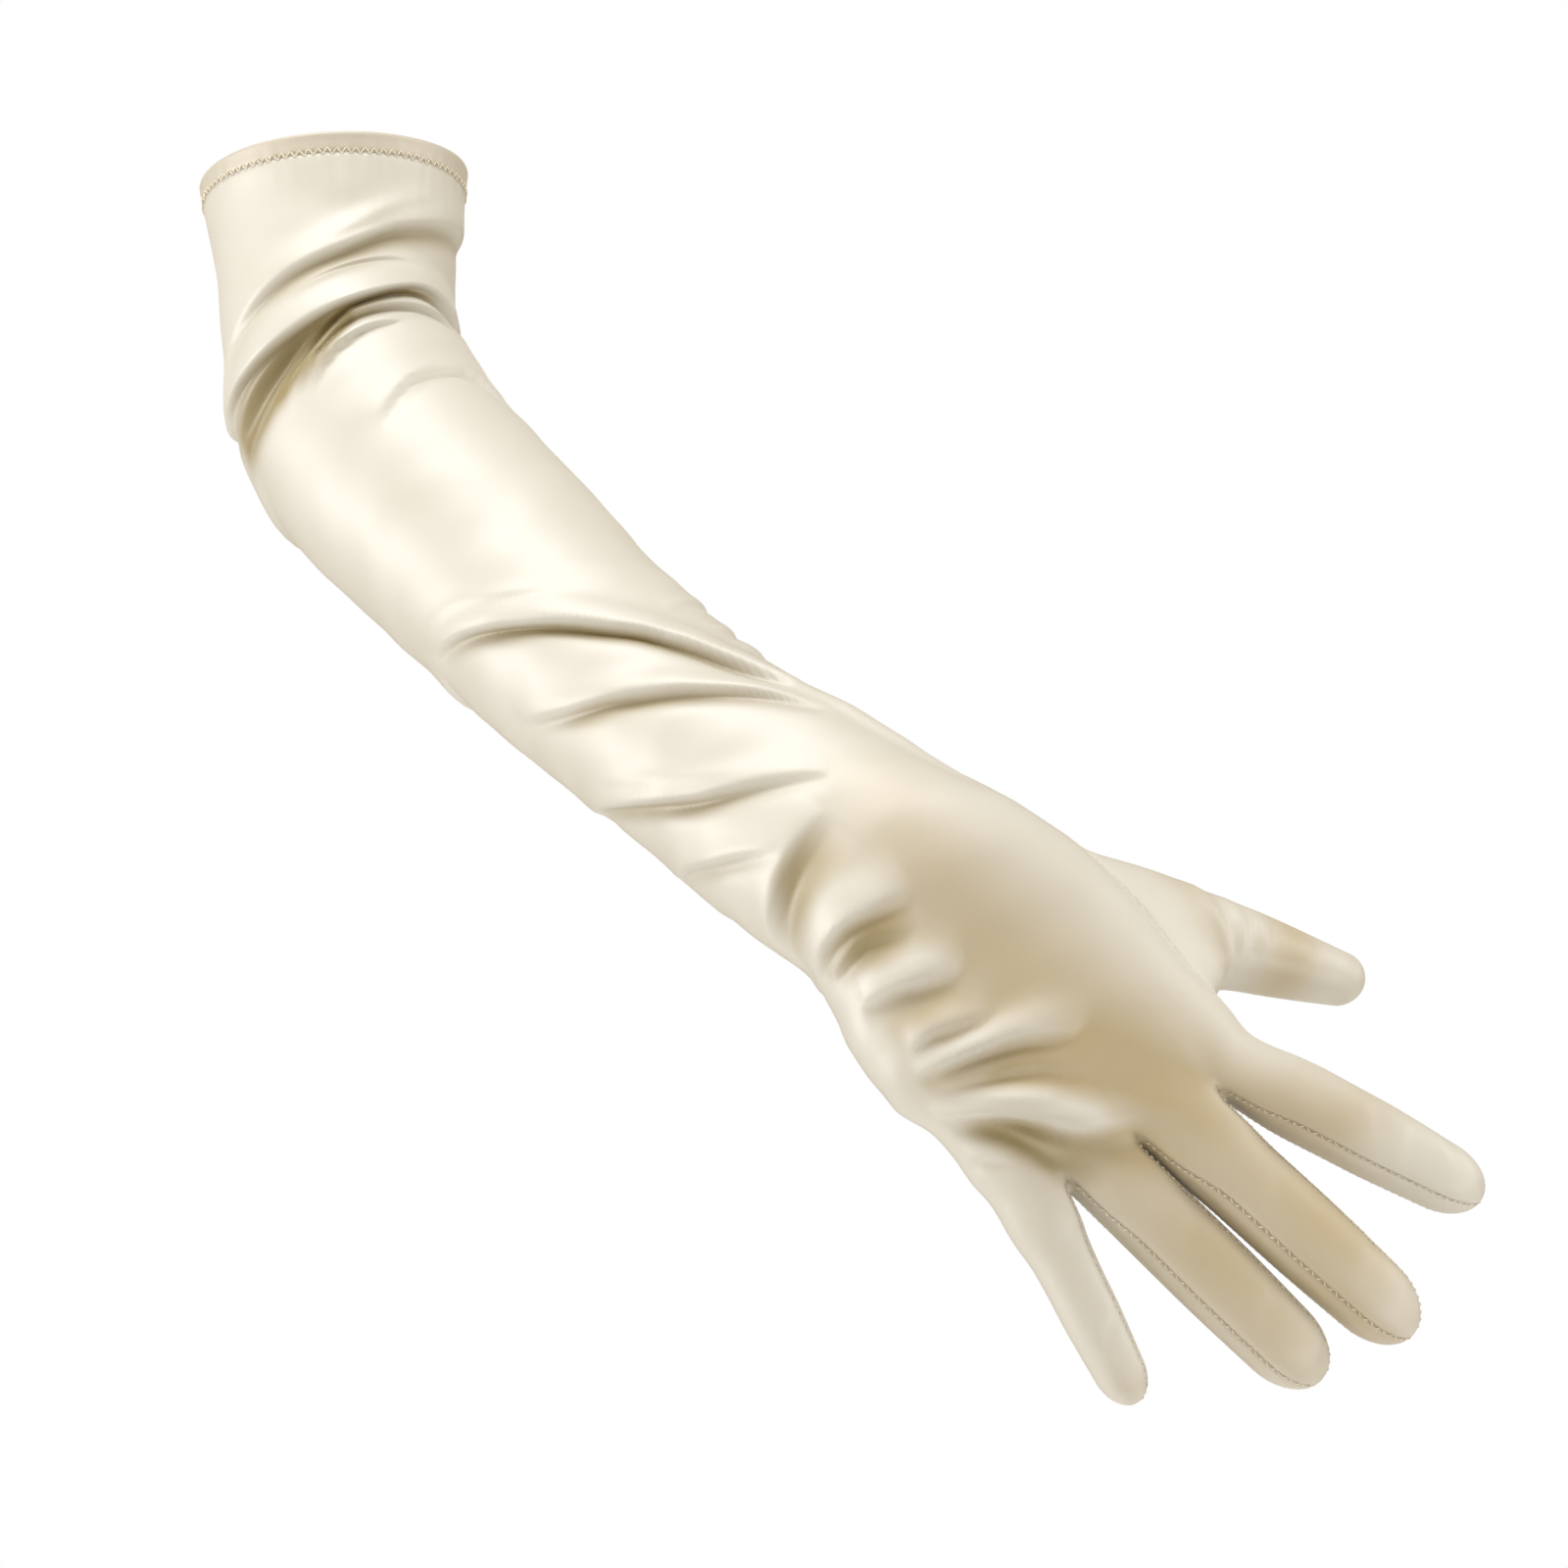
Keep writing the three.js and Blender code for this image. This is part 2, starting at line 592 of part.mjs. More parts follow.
// The thumb grows from the border of its hole, walked round in four sides.
function addThumb() {
  const root = [];
  const columns = thumbLastColumn - thumbFirstColumn;
  const rowsLong = thumbLastRow - thumbFirstRow;
  for (let i = 0; i < columns; i += 1) {
    root.push(rings[thumbFirstRow][thumbFirstColumn + i]);
  }
  for (let i = 0; i < rowsLong; i += 1) {
    root.push(rings[thumbFirstRow + i][thumbLastColumn]);
  }
  for (let i = 0; i < columns; i += 1) {
    root.push(rings[thumbLastRow][thumbLastColumn - i]);
  }
  for (let i = 0; i < rowsLong; i += 1) {
    root.push(rings[thumbLastRow - i][thumbFirstColumn]);
  }
  const start = hand.centre.clone()
    .addScaledVector(hand.side, THUMB.side * HAND_BREADTH)
    .addScaledVector(hand.front, THUMB.deep * HAND_DEPTH)
    .addScaledVector(hand.forward, THUMB.forward * PALM_LENGTH);
  const centreOf = (at) => {
    const { forward } = turned(THUMB.lean + THUMB.bend * at / 2, THUMB.tilt, 0);
    return start.clone().addScaledVector(forward, THUMB_LENGTH * at);
  };
  const sizeOf = (at, key) => smoothColumn(THUMB_SECTIONS, "at", (row) => row[key], at);
  const sectionRing = (at, size) => {
    const axes = turned(THUMB.lean + THUMB.bend * at, THUMB.tilt, THUMB.roll);
    const wide = sizeOf(at, "wide") * HAND_BREADTH / 2 * size;
    const thick = sizeOf(at, "thick") * HAND_DEPTH / 2 * size;
    return root.map((_, i) => {
      const angle = 360 * (i - columns / 2) / root.length;
      return tubePoint(centreOf(at), axes, wide, thick, angle, THUMB_POWER);
    });
  };
  const settledRing = sectionRing(THUMB_SETTLE, 1);
  const acrossHole = points[root[columns]].clone().sub(points[root[0]]);
  const alongHole = points[root[2 * columns + rowsLong]].clone().sub(points[root[0]]);
  const holeNormal = acrossHole.cross(alongHole).normalize();
  const tipLength = THUMB_TIP_ROUND * sizeOf(1, "wide") * HAND_BREADTH;
  let previous = root;
  const addRing = (ring) => {
    const ids = ring.map((point) => addPoint(point));
    ids.forEach((_, i) => {
      const next = (i + 1) % ids.length;
      addFace(previous[i], previous[next], ids[next], ids[i], "thumb");
    });
    previous = ids;
  };
  const reach = THUMB_LENGTH * THUMB_SETTLE;
  const { forward: ahead } = turned(THUMB.lean + THUMB.bend / 2, THUMB.tilt, 0);
  const leaving = holeNormal.lerp(ahead, THUMB_ROOT_TURN).multiplyScalar(THUMB_ROOT_PUSH * reach);
  for (let i = 1; i <= THUMB_ROOT_ROWS; i += 1) {
    const t = i / THUMB_ROOT_ROWS;
    const blend = 3 * t ** 2 - 2 * t ** 3;
    const near = t ** 3 - 2 * t ** 2 + t;
    const far = (t ** 3 - t ** 2) * THUMB_SETTLE_PUSH * reach;
    addRing(settledRing.map((point, j) => points[root[j]].clone().lerp(point, blend)
      .addScaledVector(leaving, near).addScaledVector(ahead, far)));
  }
  for (const station of tipStations(THUMB_LENGTH, tipLength, THUMB_SETTLE, THUMB_END_ROWS, TIP_ROWS)) {
    addRing(sectionRing(station.at, station.size));
  }
  addCap(previous, columns, rowsLong, centreOf(1), "thumb");
}

addSleeveAndPalm();
for (let finger = 0; finger < FINGERS.length; finger += 1) {
  addFinger(finger);
}
addThumb();

// Outward directions of the whole surface, so that neighbouring pieces share their seam's slope.
const outward = points.map(() => new THREE.Vector3());
for (const face of faces) {
  const [a, b, c, d] = face.corners.map((i) => points[i]);
  const normal = c.clone().sub(a).cross(d.clone().sub(b));
  face.corners.forEach((i) => outward[i].add(normal));
}
outward.forEach((normal) => normal.normalize());

// The way a seam's point is drawn back, square to the seam within the surface.
// At the end of a slit the cloth round it goes back along the slit, and the strip in it the other way.
function drawBack({ arriving, leaving, faces: around }, normal) {
  const run = arriving.clone().add(leaving);
  if (run.length() > SLIT_TURN) {
    return normal.clone().cross(run).normalize();
  }
  const backwards = arriving.clone().sub(leaving).normalize();
  return around > 2 ? backwards : backwards.negate();
}

// One piece: its patch of the surface, drawn back from its seams and given its cloth's thickness inwards.
function pieceGeometry(piece, wall) {
  const patch = faces.filter((face) => face.piece === piece);
  const key = (a, b) => `${a}_${b}`;
  const directed = new Set();
  patch.forEach(({ corners }) => corners.forEach((a, i) => directed.add(key(a, corners[(i + 1) % 4]))));
  const seams = [];
  patch.forEach(({ corners }) => corners.forEach((a, i) => {
    const b = corners[(i + 1) % 4];
    if (!directed.has(key(b, a))) {
      seams.push([a, b]);
    }
  }));
  const mouth = new Set(rings[0]);
  const drawn = new Map();
  seams.forEach(([a, b]) => [a, b].forEach((i) => drawn.set(i, { faces: 0 })));
  seams.forEach(([a, b]) => {
    const run = points[b].clone().sub(points[a]).normalize();
    drawn.get(a).leaving = run;
    drawn.get(b).arriving = run;
  });
  patch.forEach(({ corners }) => corners.filter((i) => drawn.has(i)).forEach((i) => {
    drawn.get(i).faces += 1;
  }));
  const index = new Map();
  const outer = [];
  patch.forEach(({ corners }) => corners.filter((i) => !index.has(i)).forEach((i) => {
    const point = points[i].clone();
    if (drawn.has(i) && !mouth.has(i)) {
      point.addScaledVector(drawBack(drawn.get(i), outward[i]), SEAM_GAP / 2);
    }
    index.set(i, outer.length);
    outer.push(point);
  }));
  const inner = [...index.keys()].map((i, at) => outer[at].clone().addScaledVector(outward[i], -wall));
  const deep = outer.length;
  const triangles = patch.flatMap(({ corners }) => {
    const [a, b, c, d] = corners.map((i) => index.get(i));
    return [a, b, c, a, c, d, a + deep, c + deep, b + deep, a + deep, d + deep, c + deep];
  });
  // The seam's walls split along the same diagonal in both of the pieces that meet there.
  seams.forEach(([from, to]) => {
    const a = index.get(from);
    const b = index.get(to);
    const split = from < to
      ? [b, a, b + deep, a, a + deep, b + deep]
      : [b, a, a + deep, b, a + deep, b + deep];
    triangles.push(...split);
  });
  const geometry = new THREE.BufferGeometry();
  geometry.setAttribute("position", new THREE.Float32BufferAttribute(
    [...outer, ...inner].flatMap((point) => [point.x, point.y, point.z]), 3));
  geometry.setIndex(triangles);
  return geometry;
}

const pieces = [
  { name: "glove_trank", wall: CLOTH },
  { name: "cuff_hem", wall: HEM_WALL },
  { name: "fourchette_index_middle", wall: CLOTH },
  { name: "fourchette_middle_ring", wall: CLOTH },
  { name: "fourchette_ring_little", wall: CLOTH },
  { name: "thumb", wall: CLOTH },
];

const glove = new THREE.Group();
glove.name = "evening_glove";
for (const { name, wall } of pieces) {
  const mesh = new THREE.Mesh(pieceGeometry(name, wall), new THREE.MeshStandardMaterial(SATIN));
  mesh.name = name;
  glove.add(mesh);
}

export default glove;
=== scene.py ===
"""Opera-length evening glove in ivory stretch satin, dressed over its construction model."""

import math

import bpy
import numpy as np
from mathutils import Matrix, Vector


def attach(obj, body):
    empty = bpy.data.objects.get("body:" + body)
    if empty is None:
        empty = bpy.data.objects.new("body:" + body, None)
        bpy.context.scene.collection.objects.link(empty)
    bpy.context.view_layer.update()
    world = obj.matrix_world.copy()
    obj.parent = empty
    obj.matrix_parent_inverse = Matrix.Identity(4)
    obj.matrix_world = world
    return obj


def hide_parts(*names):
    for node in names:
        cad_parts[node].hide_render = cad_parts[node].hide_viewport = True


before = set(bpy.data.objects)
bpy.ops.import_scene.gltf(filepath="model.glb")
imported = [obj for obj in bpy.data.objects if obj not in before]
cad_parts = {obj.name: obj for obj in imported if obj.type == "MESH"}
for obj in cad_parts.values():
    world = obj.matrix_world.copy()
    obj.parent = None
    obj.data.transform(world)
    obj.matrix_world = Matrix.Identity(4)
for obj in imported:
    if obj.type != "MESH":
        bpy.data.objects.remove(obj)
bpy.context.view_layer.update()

MM = 0.001

# Driving dimensions, in millimetres
UPPER_ARM_LENGTH = 66
FOREARM_LENGTH = 221
PALM_LENGTH = 92.5
CUFF_WIDTH = 72
ARM_WIDTH = 66
ARM_DEPTH = 67
WRIST_WIDTH = 64.5
WRIST_DEPTH = 49
HAND_BREADTH = 80
HAND_DEPTH = 37
INDEX_LENGTH = 73.5
MIDDLE_LENGTH = 84
RING_LENGTH = 81
LITTLE_LENGTH = 60
THUMB_LENGTH = 75.5
SATIN_WALL = 0.7
HEM_HEIGHT = 5.5
HEM_WALL = 1.7
SEAM_GAP = 0.16
SEAM_DEPTH = 0.3
HEM_SEAM_DEPTH = 0.15
SEAM_SHOULDER = 0.15
FOLD_DEPTH = 4
FOLD_WIDTH = 8

# Mesh density
FINGER_COLUMNS = 13
SIDE_COLUMNS = 7
FINGER_ROWS = 34
TIP_ROWS = 9
THUMB_ROOT_ROWS = 22
THUMB_END_ROWS = 20
RING = 8 * FINGER_COLUMNS + 2 * SIDE_COLUMNS
ROUTE_STEPS = 1200
FOLD_SAMPLES = 24
SLOPE_STEP = 0.5
SLIT_TURN = 0.8


def table(names, *rows):
    """A short table as one array for each named column."""
    return {name: np.array(column, float) for name, column in zip(names, zip(*rows))}


# The arm's path: along counts 0 to 1 on the upper arm, 1 to 2 on the forearm and 2 to 3 on the palm.
# Swing is the angle from straight down to the thumb's side, reach the angle to the front, in degrees.
ROUTE = table(
    ["along", "swing", "reach", "roll"],
    [0.0, 4, 17.5, 3],
    [0.45, 2, 20, 2],
    [0.7, 8.5, 22.5, 1],
    [0.88, 18, 24.5, 0],
    [1.03, 30, 27, 0],
    [1.12, 39, 28, 0],
    [1.22, 43.5, 29, 0],
    [1.38, 45.5, 30.5, 0],
    [1.56, 50, 32, 0],
    [1.77, 53.5, 32.5, 0],
    [1.93, 55.5, 31, 2],
    [2.03, 54, 24, 4],
    [2.15, 50.5, 14, 6],
    [2.35, 43.5, 8, 8],
    [2.6, 41.5, 5, 9],
    [3.0, 44, 2.5, 9],
)

# Cross-sections: half sizes as shares of the width and depth that they follow.
# Power 2 is an ellipse, and a larger power is squarer.
SECTIONS = table(
    ["along", "width", "thumb", "little", "depth", "front", "back", "power"],
    [0.0, CUFF_WIDTH, 0.5, 0.5, ARM_DEPTH, 0.537, 0.537, 2],
    [0.07, CUFF_WIDTH, 0.493, 0.494, ARM_DEPTH, 0.53, 0.53, 2],
    [0.3, ARM_WIDTH, 0.503, 0.5, ARM_DEPTH, 0.507, 0.507, 2],
    [0.5, ARM_WIDTH, 0.485, 0.485, ARM_DEPTH, 0.5, 0.5, 2],
    [0.82, ARM_WIDTH, 0.478, 0.485, ARM_DEPTH, 0.507, 0.507, 2],
    [1.07, ARM_WIDTH, 0.505, 0.53, ARM_DEPTH, 0.507, 0.507, 2],
    [1.27, ARM_WIDTH, 0.505, 0.475, ARM_DEPTH, 0.485, 0.485, 2],
    [1.47, ARM_WIDTH, 0.478, 0.448, ARM_DEPTH, 0.463, 0.463, 2],
    [1.65, ARM_WIDTH, 0.455, 0.422, ARM_DEPTH, 0.44, 0.44, 2],
    [1.88, WRIST_WIDTH, 0.515, 0.455, WRIST_DEPTH, 0.55, 0.55, 2.05],
    [2.0, WRIST_WIDTH, 0.538, 0.465, WRIST_DEPTH, 0.5, 0.5, 2.1],
    [2.15, HAND_BREADTH, 0.475, 0.425, HAND_DEPTH, 0.6, 0.6, 2.2],
    [2.28, HAND_BREADTH, 0.505, 0.468, HAND_DEPTH, 0.55, 0.56, 2.25],
    [2.52, HAND_BREADTH, 0.53, 0.5, HAND_DEPTH, 0.49, 0.52, 2.35],
    [2.73, HAND_BREADTH, 0.52, 0.458, HAND_DEPTH, 0.44, 0.46, 2.4],
    [3.0, HAND_BREADTH, 0.51, 0.48, HAND_DEPTH, 0.37, 0.38, 2.45],
)

HAND_COLUMNS_START = 1.9
THUMB_SEAM_START = 2.31
THUMB_SEAM_END = 2.84

# Where the rings of the mesh lie: each row is an end and the rings spaced evenly up to it.
RING_SPANS = [
    (0.4, 18),
    (1.15, 80),
    (1.35, 18),
    (1.95, 150),
    (THUMB_SEAM_START, 34),
    (THUMB_SEAM_END, 40),
    (3.0, 12),
]

# The line of the finger roots, from the index finger's outer edge to the little finger's.
# Side is a share of half the hand's breadth, forward a share of the palm's length.
ROOTS = table(
    ["side", "forward"],
    [0.96, 0.025],
    [0.575, 0.055],
    [0, -0.017],
    [-0.54, -0.057],
    [-0.93, -0.125],
)
ROOT_LINE_START = 2.35
KNUCKLE_DIP_START = 2.84
KNUCKLE_DIP = 0.06 * HAND_DEPTH
WEB_RISE = 0.03 * PALM_LENGTH
COLUMN_CLUSTER = 0.6
FRONT_CROWD = 20
CROWD_TURN = -30

# Fingers: widths as shares of the hand's breadth, thicknesses of its depth, angles in degrees.
# Lean turns to the thumb's side at the root, bend adds to it by the tip, and curl turns to the palm.
FINGER_NAMES = ["index", "middle", "ring", "little"]
FINGERS = table(
    ["length", "root", "mid", "end", "thick", "lean", "bend", "curl", "roll"],
    [INDEX_LENGTH, 0.262, 0.25, 0.205, 0.52, 19, 0, 9, 15],
    [MIDDLE_LENGTH, 0.275, 0.28, 0.25, 0.53, 4, 1, 9, 17],
    [RING_LENGTH, 0.262, 0.27, 0.25, 0.52, 2, 1, 10, 8],
    [LITTLE_LENGTH, 0.22, 0.19, 0.158, 0.44, -17.5, 2, 12, 2],
)
FINGER_POWER = 2.4
FINGER_CORNER = 0.84
FINGER_SETTLE = 0.32
FINGER_THINNING = 0.14
SHADE_REACH = 0.16
TIP_ROUND = 0.72
TIP_OPEN_ROWS = 0.6
TIP_SWELL = 0.8

# The set-in thumb, in the hand's frame at the finger roots, as shares of the palm and hand.
THUMB = {"side": 0.49, "deep": -0.22, "forward": -0.508, "lean": 30, "bend": 4, "tilt": 20, "roll": 20}
THUMB_SECTIONS = table(
    ["at", "wide", "thick"],
    [0.5, 0.277, 0.6],
    [0.62, 0.25, 0.56],
    [0.76, 0.212, 0.5],
    [0.9, 0.174, 0.42],
    [1.0, 0.15, 0.36],
)
THUMB_POWER = 2.1
THUMB_SETTLE = 0.5
THUMB_TIP_ROUND = 0.5
THUMB_ROOT_TURN = 0.4
THUMB_ROOT_PUSH = 1.15
THUMB_SETTLE_PUSH = 0.9

# Folds in the sleeve and hand: each path runs from the thumb's side to the little finger's side
# as (along, around), with around in degrees from the thumb's side and 90 at the front.
# Rise and tuck are shares of the fold depth, spread is a share of the fold width,
# and lean pushes the ridge over its tuck by a share of the fold depth.
# Each fold's tuck also sets the painted shade that darkens the satin in its valley.
FOLDS = [
    # upper arm
    (0.10, 0.10, 0.35, 0.0, [(0.20, 35), (0.27, 55), (0.36, 73), (0.46, 92)]),
    (0.50, 0.48, 0.75, 0.3, [(0.25, -15), (0.27, 21), (0.36, 60), (0.50, 90), (0.64, 128),
                             (0.78, 165)]),
    (0.14, 0.16, 0.35, 0.0, [(0.53, 45), (0.55, 66), (0.61, 88), (0.70, 112)]),
    # elbow
    (0.85, 0.5, 0.75, 1.1, [(0.82, -20), (0.73, 12), (0.645, 30), (0.63, 46), (0.665, 60), (0.73, 78),
                            (0.79, 104), (0.83, 128), (0.85, 146), (0.88, 174), (0.90, 205)]),
    (0.0, 1.4, 0.85, 0.0, [(0.77, 82), (0.84, 100), (0.89, 118), (0.925, 136), (0.95, 154), (0.97, 174)]),
    (0.48, 0.26, 0.36, 0.15, [(0.92, 6), (0.775, 20), (0.70, 34), (0.69, 48), (0.735, 65), (0.79, 80),
                              (0.87, 94), (0.95, 106), (1.0, 115), (1.03, 125)]),
    (0.42, 0.32, 0.4, 0.15, [(0.93, 12), (0.85, 26), (0.82, 40), (0.82, 52), (0.846, 70), (0.89, 83),
                             (0.968, 94), (1.012, 104), (1.034, 112)]),
    (0.3, 0.26, 0.4, 0.1, [(0.965, 52), (0.964, 67), (1.0, 82), (1.014, 94), (1.04, 106)]),
    (0.26, 0.34, 0.45, 0.1, [(1.16, 6), (1.105, 22), (1.09, 44), (1.10, 64), (1.13, 84)]),
    (0.2, 0.15, 1.2, 0.0, [(1.02, 150), (1.08, 185), (1.1, 220)]),
    # forearm
    (0.60, 0.68, 0.62, 0.7, [(1.78, 22), (1.71, 32), (1.62, 48), (1.555, 66), (1.495, 84), (1.44, 105),
                            (1.40, 125), (1.37, 150)]),
    (0.36, 0.1, 1.0, 0.0, [(2.1, 4), (1.96, 8), (1.88, 13), (1.80, 20), (1.72, 30), (1.62, 48)]),
    (0.10, 0.12, 0.3, 0.0, [(1.47, 76), (1.43, 94), (1.385, 116), (1.36, 138)]),
    (0.44, 0.54, 0.6, 0.25, [(1.84, 24), (1.765, 44), (1.695, 68), (1.635, 92), (1.585, 116),
                             (1.525, 142)]),
    (0.10, 0.12, 0.3, 0.0, [(1.83, 86), (1.78, 104), (1.72, 122), (1.66, 140)]),
    (0.44, 0.54, 0.6, 0.25, [(1.92, 62), (1.85, 86), (1.80, 106), (1.73, 130), (1.66, 158), (1.63, 182)]),
    (0.30, 0.36, 0.5, 0.0, [(1.93, 104), (1.89, 118), (1.85, 134), (1.81, 152), (1.78, 175)]),
    (0.22, 0.08, 0.5, 0.0, [(1.54, -35), (1.56, 0), (1.57, 18), (1.58, 36)]),
    (0.22, 0.08, 0.5, 0.0, [(1.60, -35), (1.62, 0), (1.63, 14), (1.63, 26)]),
    (0.2, 0.08, 0.5, 0.0, [(1.66, -35), (1.67, -8), (1.67, 6), (1.68, 14)]),
    # wrist
    (0.35, 0.6, 1.0, 0.0, [(1.945, 80), (1.94, 96), (1.94, 112), (1.945, 130), (1.95, 146), (1.96, 168)]),
    (0.60, 0.5, 0.8, 0.3, [(2.14, 88), (2.10, 99), (2.07, 110), (2.055, 120), (2.045, 134), (2.05, 160)]),
    (0.40, 0.28, 0.6, 0.0, [(2.20, 98), (2.15, 108), (2.12, 118), (2.11, 130), (2.10, 150)]),
    (0.70, 0.34, 0.75, 0.1, [(2.36, 96), (2.31, 107), (2.265, 120), (2.22, 140)]),
    (0.48, 0.28, 0.6, 0.0, [(2.50, 98), (2.46, 110), (2.43, 120), (2.42, 132)]),
    # back of the hand
    (0.72, 0.36, 0.7, 0.1, [(2.69, 84), (2.61, 94), (2.56, 107), (2.53, 120), (2.50, 138)]),
    (0.34, 0.2, 0.5, 0.0, [(2.80, 88), (2.71, 97), (2.65, 110), (2.61, 122), (2.58, 136)]),
    (0.2, 0.14, 0.5, 0.0, [(2.83, 100), (2.76, 112), (2.69, 124)]),
    (0.85, 0.5, 0.7, 0.15, [(3.06, 78), (2.99, 88), (2.92, 99), (2.84, 108), (2.77, 119), (2.71, 136),
                            (2.66, 154)]),
    (0.0, 0.45, 0.6, 0.0, [(3.02, 100), (2.98, 108), (2.93, 115), (2.85, 121), (2.77, 133), (2.72, 154)]),
    (0.16, 0.18, 0.4, 0.0, [(2.92, 128), (2.89, 138), (2.86, 150), (2.84, 164)]),
    # hidden side
    (0.5, 0.45, 0.8, 0.5, [(0.88, 175), (0.85, 205), (0.78, 238), (0.71, 272), (0.67, 305), (0.72, 345)]),
    (0.4, 0.4, 0.6, 0.2, [(1.02, 215), (0.95, 240), (0.87, 275), (0.82, 310), (0.84, 350)]),
    (0.3, 0.3, 0.7, 0.0, [(0.62, 200), (0.55, 240), (0.46, 275), (0.38, 310), (0.30, 345)]),
    (0.25, 0.25, 0.6, 0.0, [(1.18, 250), (1.12, 290), (1.10, 330), (1.12, 358)]),
    (0.45, 0.4, 0.7, 0.2, [(1.38, 165), (1.40, 205), (1.46, 245), (1.52, 285), (1.54, 325)]),
    (0.3, 0.3, 0.6, 0.0, [(1.62, 190), (1.68, 230), (1.72, 270), (1.78, 310), (1.84, 340)]),
    (0.3, 0.3, 0.6, 0.0, [(1.84, 180), (1.88, 220), (1.92, 260), (1.96, 300)]),
    (0.35, 0.35, 0.6, 0.0, [(2.04, 175), (2.06, 215), (2.04, 255), (2.06, 295), (2.1, 330)]),
    (0.25, 0.3, 0.7, 0.0, [(2.3, 195), (2.34, 230), (2.38, 262), (2.36, 290)]),
    (0.3, 0.35, 0.8, 0.0, [(2.9, 205), (2.78, 238), (2.68, 262), (2.5, 285)]),
]
FOLD_FADE = 0.6

# Painted shade: where the satin is painted darker, as if its sheen did not catch the lamps: strength,
# width as a share of the fold width and a path.
SHEEN_SHADE_BANDS = [
    (0.3, 3.4, [(1.92, 78), (2.2, 92), (2.6, 92), (3.06, 84), (3.3, 84)]),
    (0.52, 1.4, [(1.90, 48), (1.976, 56), (2.10, 75), (2.26, 85), (2.42, 84), (2.58, 80), (2.75, 70),
                (2.91, 57), (3.1, 40)]),
    (0.8, 1.1, [(2.62, 116), (2.68, 105), (2.77, 90), (2.90, 79), (2.98, 66), (3.06, 56)]),
    (0.6, 1.0, [(2.96, 98), (3.0, 84), (3.04, 70)]),
    (0.5, 0.7, [(2.38, 124), (2.436, 115), (2.496, 103), (2.60, 95)]),
    (0.45, 0.7, [(2.16, 126), (2.20, 116), (2.26, 106)]),
    (0.6, 0.8, [(1.93, 126), (1.956, 115), (1.972, 101), (1.98, 86)]),
    (0.75, 0.6, [(2.06, 132), (2.09, 122), (2.12, 112), (2.145, 102), (2.16, 94)]),
    (0.65, 0.5, [(2.32, 140), (2.345, 132), (2.38, 118), (2.4, 108), (2.42, 99)]),
    (0.55, 0.55, [(2.53, 142), (2.55, 134), (2.67, 108), (2.73, 94), (2.77, 86)]),
    (0.6, 0.6, [(2.78, 144), (2.81, 132), (2.94, 114), (3.0, 93), (3.03, 82)]),
    (0.4, 0.8, [(1.60, 124), (1.616, 112), (1.63, 96), (1.66, 82)]),
    (0.15, 1.0, [(0.40, 52), (0.486, 36), (0.56, 22), (0.62, 6)]),
]
# The same on the fingers, one patch a row: finger, place along it and turn round it in degrees,
# how far it reaches along and round the finger, and strength.
FINGER_SHEEN_SHADES = [
    (0, 0.16, 128, 0.26, 45, 0.7),
    (0, 0.50, 60, 0.14, 45, 0.35),
    (0, 0.42, 115, 0.10, 40, 0.4),
    (0, 0.3, 190, 0.5, 40, 0.4),
    (0, 0.05, 90, 0.3, 80, 0.3),
    (1, 0.10, 90, 0.46, 75, 0.75),
    (1, 0.62, 70, 0.26, 55, 0.8),
    (1, 0.80, 150, 0.3, 30, 0.6),
    (1, 0.5, 195, 0.6, 40, 0.8),
    (1, 0.5, 345, 0.6, 40, 0.5),
    (2, 0.5, 190, 0.6, 40, 0.4),
    (2, 0.5, 345, 0.6, 40, 0.6),
    (2, 0.12, 115, 0.30, 60, 0.3),
    (2, 0.50, 80, 0.3, 60, 0.85),
    (2, 0.85, 110, 0.2, 50, 0.4),
    (3, 0.90, 100, 0.1, 50, 0.3),
]
STEEP_SIDE = 0.32
TUCK_PLACE = 0.5
TUCK_STEEP = 0.3
TUCK_GENTLE = 0.75
LEAN_SPREAD = 0.5
DIM_REACH = 1.5
# Painted highlight: how strongly the fold crests are painted lighter.
CREST_PAINTED_HIGHLIGHT = 1.3


def eased(a, b, leaving, arriving, t):
    """A cubic from a to b that leaves and arrives with the given slopes."""
    blend = 3 * t**2 - 2 * t**3
    return lerp(a, b, blend) + (t**3 - 2 * t**2 + t) * leaving + (t**3 - t**2) * arriving


def smooth_column(rows, key, values, x):
    """A cubic through a table's rows, with slopes taken from the rows on either side."""
    knots = rows[key]
    x = np.clip(x, knots[0], knots[-1])
    slopes = np.gradient(values, knots)
    slopes[1:-1] = (values[2:] - values[:-2]) / (knots[2:] - knots[:-2])
    i = np.clip(np.searchsorted(knots, x, side="right") - 1, 0, len(knots) - 2)
    span = knots[i + 1] - knots[i]
    return eased(values[i], values[i + 1], slopes[i] * span, slopes[i + 1] * span, (x - knots[i]) / span)


def smoothstep(x, low, high):
    t = np.clip((x - low) / (high - low), 0, 1)
    return t * t * (3 - 2 * t)


def lerp(a, b, t):
    return a + (b - a) * t


def unit(vectors):
    return vectors / np.maximum(np.linalg.norm(vectors, axis=-1, keepdims=True), 1e-12)


def length_at(along):
    upper = np.clip(along, 0, 1) * UPPER_ARM_LENGTH
    fore = np.clip(np.subtract(along, 1), 0, 1) * FOREARM_LENGTH
    return upper + fore + np.maximum(np.subtract(along, 2), 0) * PALM_LENGTH


def along_at(length):
    places = [0, UPPER_ARM_LENGTH, UPPER_ARM_LENGTH + FOREARM_LENGTH]
    places.append(places[-1] + PALM_LENGTH)
    return np.interp(length, places, [0, 1, 2, 3])


